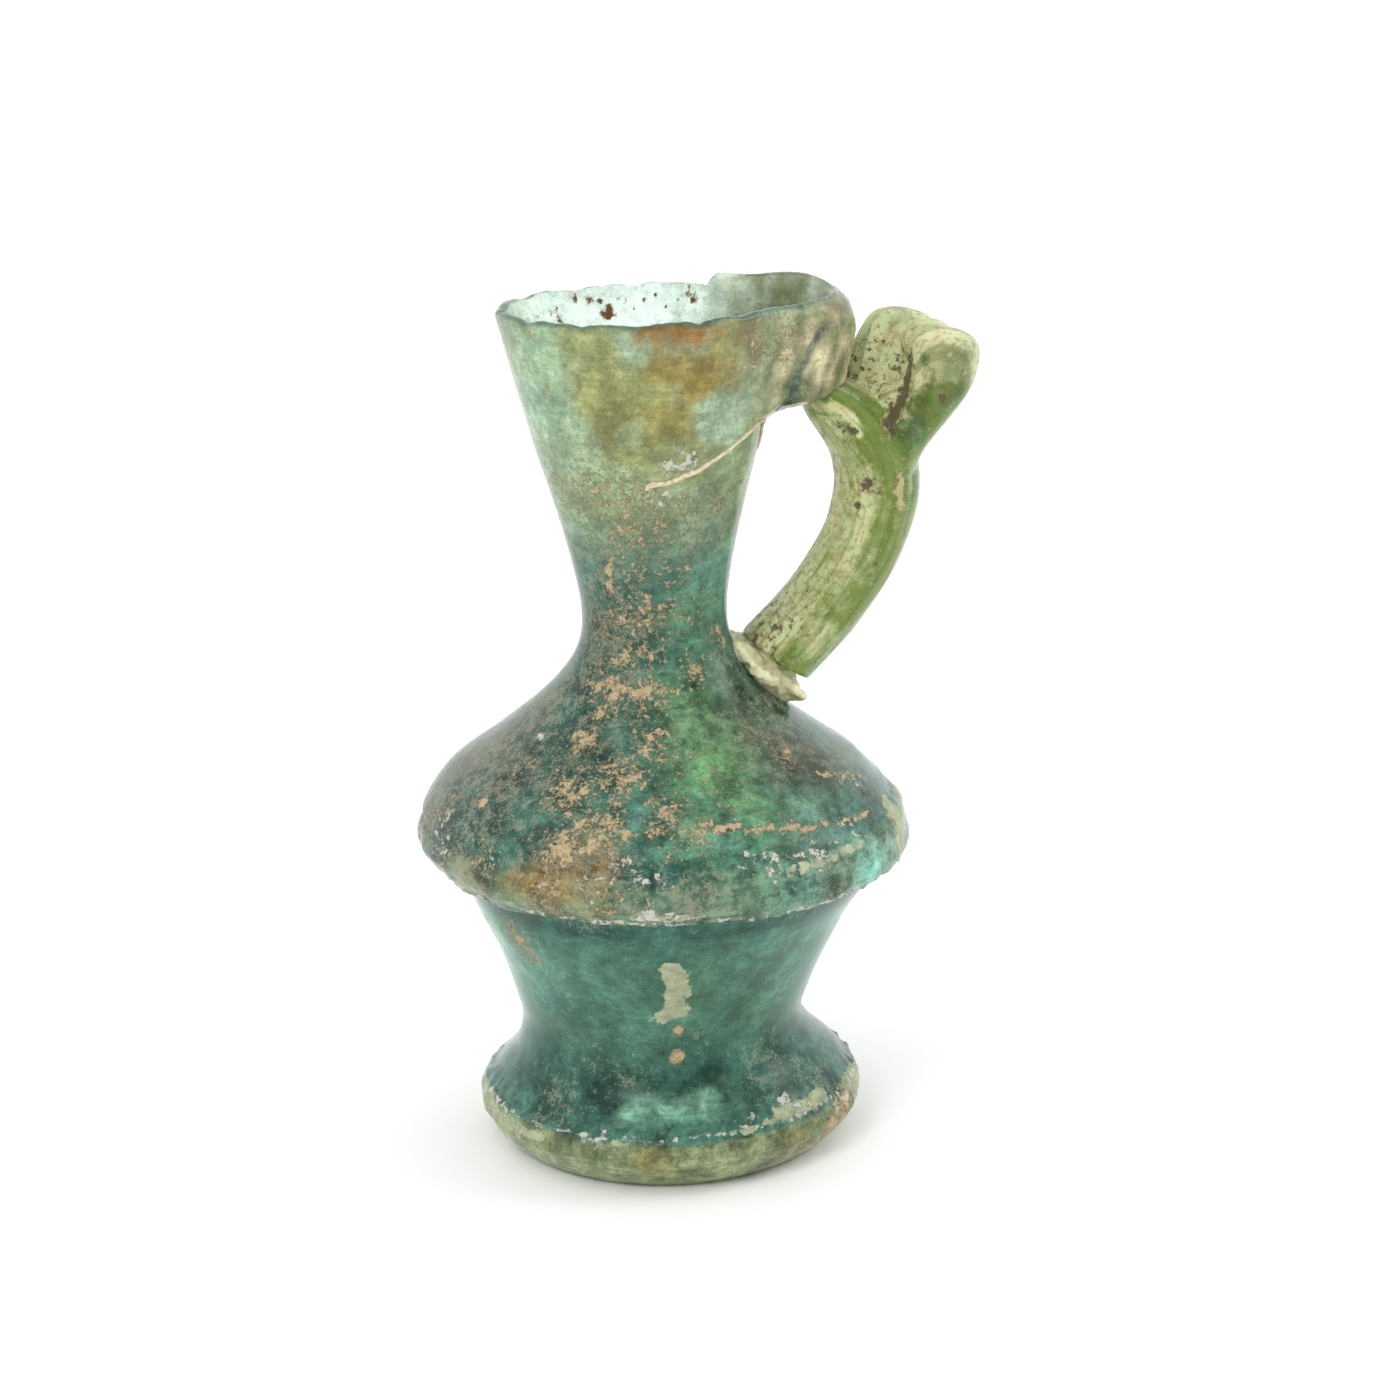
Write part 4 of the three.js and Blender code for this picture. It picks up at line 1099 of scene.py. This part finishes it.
class JUG_OT_root_trace(Operator):
    """Lay the pale trace of a rootlet that is stuck across the neck"""

    bl_idname = "jug.root_trace"
    bl_label = "Root trace"

    def execute(self, context):
        colours = context.scene.jug_colours
        steps, sides = 90, 10
        knots = [(-98, 90.6), (-90, 91.3), (-74, 92.3), (-57, 94.2), (-42, 96), (-28, 97.3), (-18, 96.4),
                 (-14, 93)]
        path = curve_through(knots, steps)
        vessel = bpy.data.objects["vessel_glass"]
        points, normals = read_points(vessel.data)
        wide = np.hypot(points[:, 0], points[:, 1])
        outward = (normals[:, 0] * points[:, 0] + normals[:, 1] * points[:, 1]) > 0
        skin = np.where(outward & (wide < 30))[0]
        turn = np.arctan2(points[skin, 1], points[skin, 0])
        centres = []
        for degrees, z in path:
            off = ((turn - math.radians(degrees)) * 15) ** 2 + (points[skin, 2] - z) ** 2
            near = skin[np.argsort(off)[:6]]
            centres.append(points[near].mean(0) + normals[near].mean(0) * 0.06)
        centres = np.array(centres)
        for _ in range(3):
            centres[1:-1] = (centres[:-2] + 2 * centres[1:-1] + centres[2:]) / 4
        step = np.arange(steps + 1)
        thick = np.linspace(0.34, 0.2, steps + 1) + 0.08 * ripple(centres, 1.5, 3)
        thick *= np.minimum(1, np.minimum(step, steps - step) / 6 + 0.25)
        tangents = np.gradient(centres, axis=0)
        tangents /= np.linalg.norm(tangents, axis=1)[:, None]
        side = np.cross(tangents, (0, 0, 1.0))
        side /= np.linalg.norm(side, axis=1)[:, None]
        other = np.cross(tangents, side)
        around = np.linspace(0, 2 * math.pi, sides, endpoint=False)
        rings = centres[:, None] + thick[:, None, None] * (
            side[:, None] * np.cos(around)[None, :, None] + other[:, None] * np.sin(around)[None, :, None])
        faces = []
        for i in range(len(centres) - 1):
            for j in range(sides):
                k = (j + 1) % sides
                faces.append((i * sides + j, (i + 1) * sides + j, (i + 1) * sides + k, i * sides + k))
        faces.append(tuple(range(sides)))
        faces.append(tuple(range((len(centres) - 1) * sides, len(centres) * sides))[::-1])
        obj = mesh_object("root_trace", rings.reshape(-1, 3), faces)
        dress(obj, root_finish(colours), "blue_green_glass")
        return {"FINISHED"}


class JUG_OT_stage(Operator):
    """Set the pale floor, the white surround, the soft lights and the camera"""

    bl_idname = "jug.stage"
    bl_label = "Stage"

    def execute(self, context):
        stage = context.scene.jug_stage
        mesh = bpy.data.meshes.new("floor")
        made = bmesh.new()
        bmesh.ops.create_circle(made, cap_ends=True, radius=8, segments=96,
                                matrix=Matrix.Translation((0, 0, -0.00008)))
        made.to_mesh(mesh)
        made.free()
        floor = bpy.data.objects.new("floor", mesh)
        context.collection.objects.link(floor)
        paper = Sheet("floor_paper")
        paper.feed(paper.shader.inputs["Base Color"], tuple(stage.floor_colour))
        paper.shader.inputs["Roughness"].default_value = 0.9
        mesh.materials.append(paper.material)

        world = bpy.data.worlds.new("white_surround")
        world.use_nodes = True
        tree = world.node_tree
        tree.nodes["Background"].inputs["Color"].default_value = (1, 1, 1, 1)
        # The room is dimmer on the side where the photographer stands
        direction = tree.nodes.new("ShaderNodeTexCoord")
        towards = tree.nodes.new("ShaderNodeVectorMath")
        towards.operation = "DOT_PRODUCT"
        towards.inputs[1].default_value = (0, -1, 0)
        tree.links.new(direction.outputs["Generated"], towards.inputs[0])
        dim = tree.nodes.new("ShaderNodeMapRange")
        dim.interpolation_type = "SMOOTHSTEP"
        for key, value in (("From Min", 0.0), ("From Max", 0.9), ("To Min", stage.surround),
                           ("To Max", stage.front_surround)):
            dim.inputs[key].default_value = value
        tree.links.new(towards.outputs["Value"], dim.inputs["Value"])
        tree.links.new(dim.outputs[0], tree.nodes["Background"].inputs["Strength"])
        context.scene.world = world
        for name, where, size, power in (("window_light", (-0.4, -0.5, 0.6), 0.3, stage.key_power),
                                         ("side_light", (0.6, -0.05, 0.4), 0.3, stage.key_power * 0.5)):
            light = bpy.data.lights.new(name, "AREA")
            light.energy, light.size = power, size
            lamp = bpy.data.objects.new(name, light)
            lamp.location = where
            lamp.rotation_mode = "QUATERNION"
            lamp.rotation_quaternion = (Vector((0, 0, 0.05)) - Vector(where)).to_track_quat("-Z", "Y")
            context.collection.objects.link(lamp)
        context.scene.view_settings.view_transform = "Standard"
        self.place_camera(context, stage)
        return {"FINISHED"}

    def place_camera(self, context, stage):
        lens = bpy.data.cameras.new("camera")
        lens.lens, lens.sensor_width = stage.lens, 36
        lens.clip_start, lens.clip_end = 0.01, 20
        camera = bpy.data.objects.new("camera", lens)
        context.collection.objects.link(camera)
        azimuth = stage.camera_azimuth
        camera.location = (AXIS_X * MM + stage.camera_distance * math.sin(azimuth),
                           -stage.camera_distance * math.cos(azimuth), stage.camera_height)
        heading = stage.camera_turn - azimuth
        level = Vector((math.sin(heading), math.cos(heading), 0))
        right = Vector((level.y, -level.x, 0))
        pitch, roll = stage.camera_pitch, stage.camera_roll
        forward = level * math.cos(pitch) - Vector((0, 0, math.sin(pitch)))
        up = right.cross(forward)
        leaned_up = up * math.cos(roll) + right * math.sin(roll)
        leaned_right = right * math.cos(roll) - up * math.sin(roll)
        turn = Matrix((leaned_right, leaned_up, -forward)).transposed()
        camera.rotation_mode = "QUATERNION"
        camera.rotation_quaternion = turn.to_quaternion()
        context.scene.camera = camera


class JUG_PT_sidebar(Panel):
    """Lists the pieces of the jug and their sizes"""

    bl_idname = "JUG_PT_sidebar"
    bl_label = "Glass Jug"
    bl_space_type = "VIEW_3D"
    bl_region_type = "UI"
    bl_category = "Glass Jug"

    def draw(self, context):
        for operator in PIECES:
            self.layout.operator(operator.bl_idname)
        for group in (context.scene.jug_sizes, context.scene.jug_colours, context.scene.jug_stage):
            box = self.layout.box()
            for name in group.bl_rna.properties.keys():
                if name not in ("rna_type", "name"):
                    box.prop(group, name)


PIECES = (JUG_OT_stage, JUG_OT_vessel, JUG_OT_handle, JUG_OT_adhesive, JUG_OT_root_trace)
GROUPS = (("jug_sizes", JugSizes), ("jug_colours", JugColours), ("jug_stage", JugStage))


def register():
    for _, group in GROUPS:
        bpy.utils.register_class(group)
    for cls in (*PIECES, JUG_PT_sidebar):
        bpy.utils.register_class(cls)
    for name, group in GROUPS:
        setattr(bpy.types.Scene, name, PointerProperty(type=group))


def unregister():
    for name, _ in GROUPS:
        delattr(bpy.types.Scene, name)
    for cls in (JUG_PT_sidebar, *reversed(PIECES)):
        bpy.utils.unregister_class(cls)
    for _, group in reversed(GROUPS):
        bpy.utils.unregister_class(group)


def main():
    register()
    bpy.ops.jug.stage()
    bpy.ops.jug.vessel()
    bpy.ops.jug.handle()
    bpy.ops.jug.adhesive()
    bpy.ops.jug.root_trace()


if __name__ == "__main__":
    main()
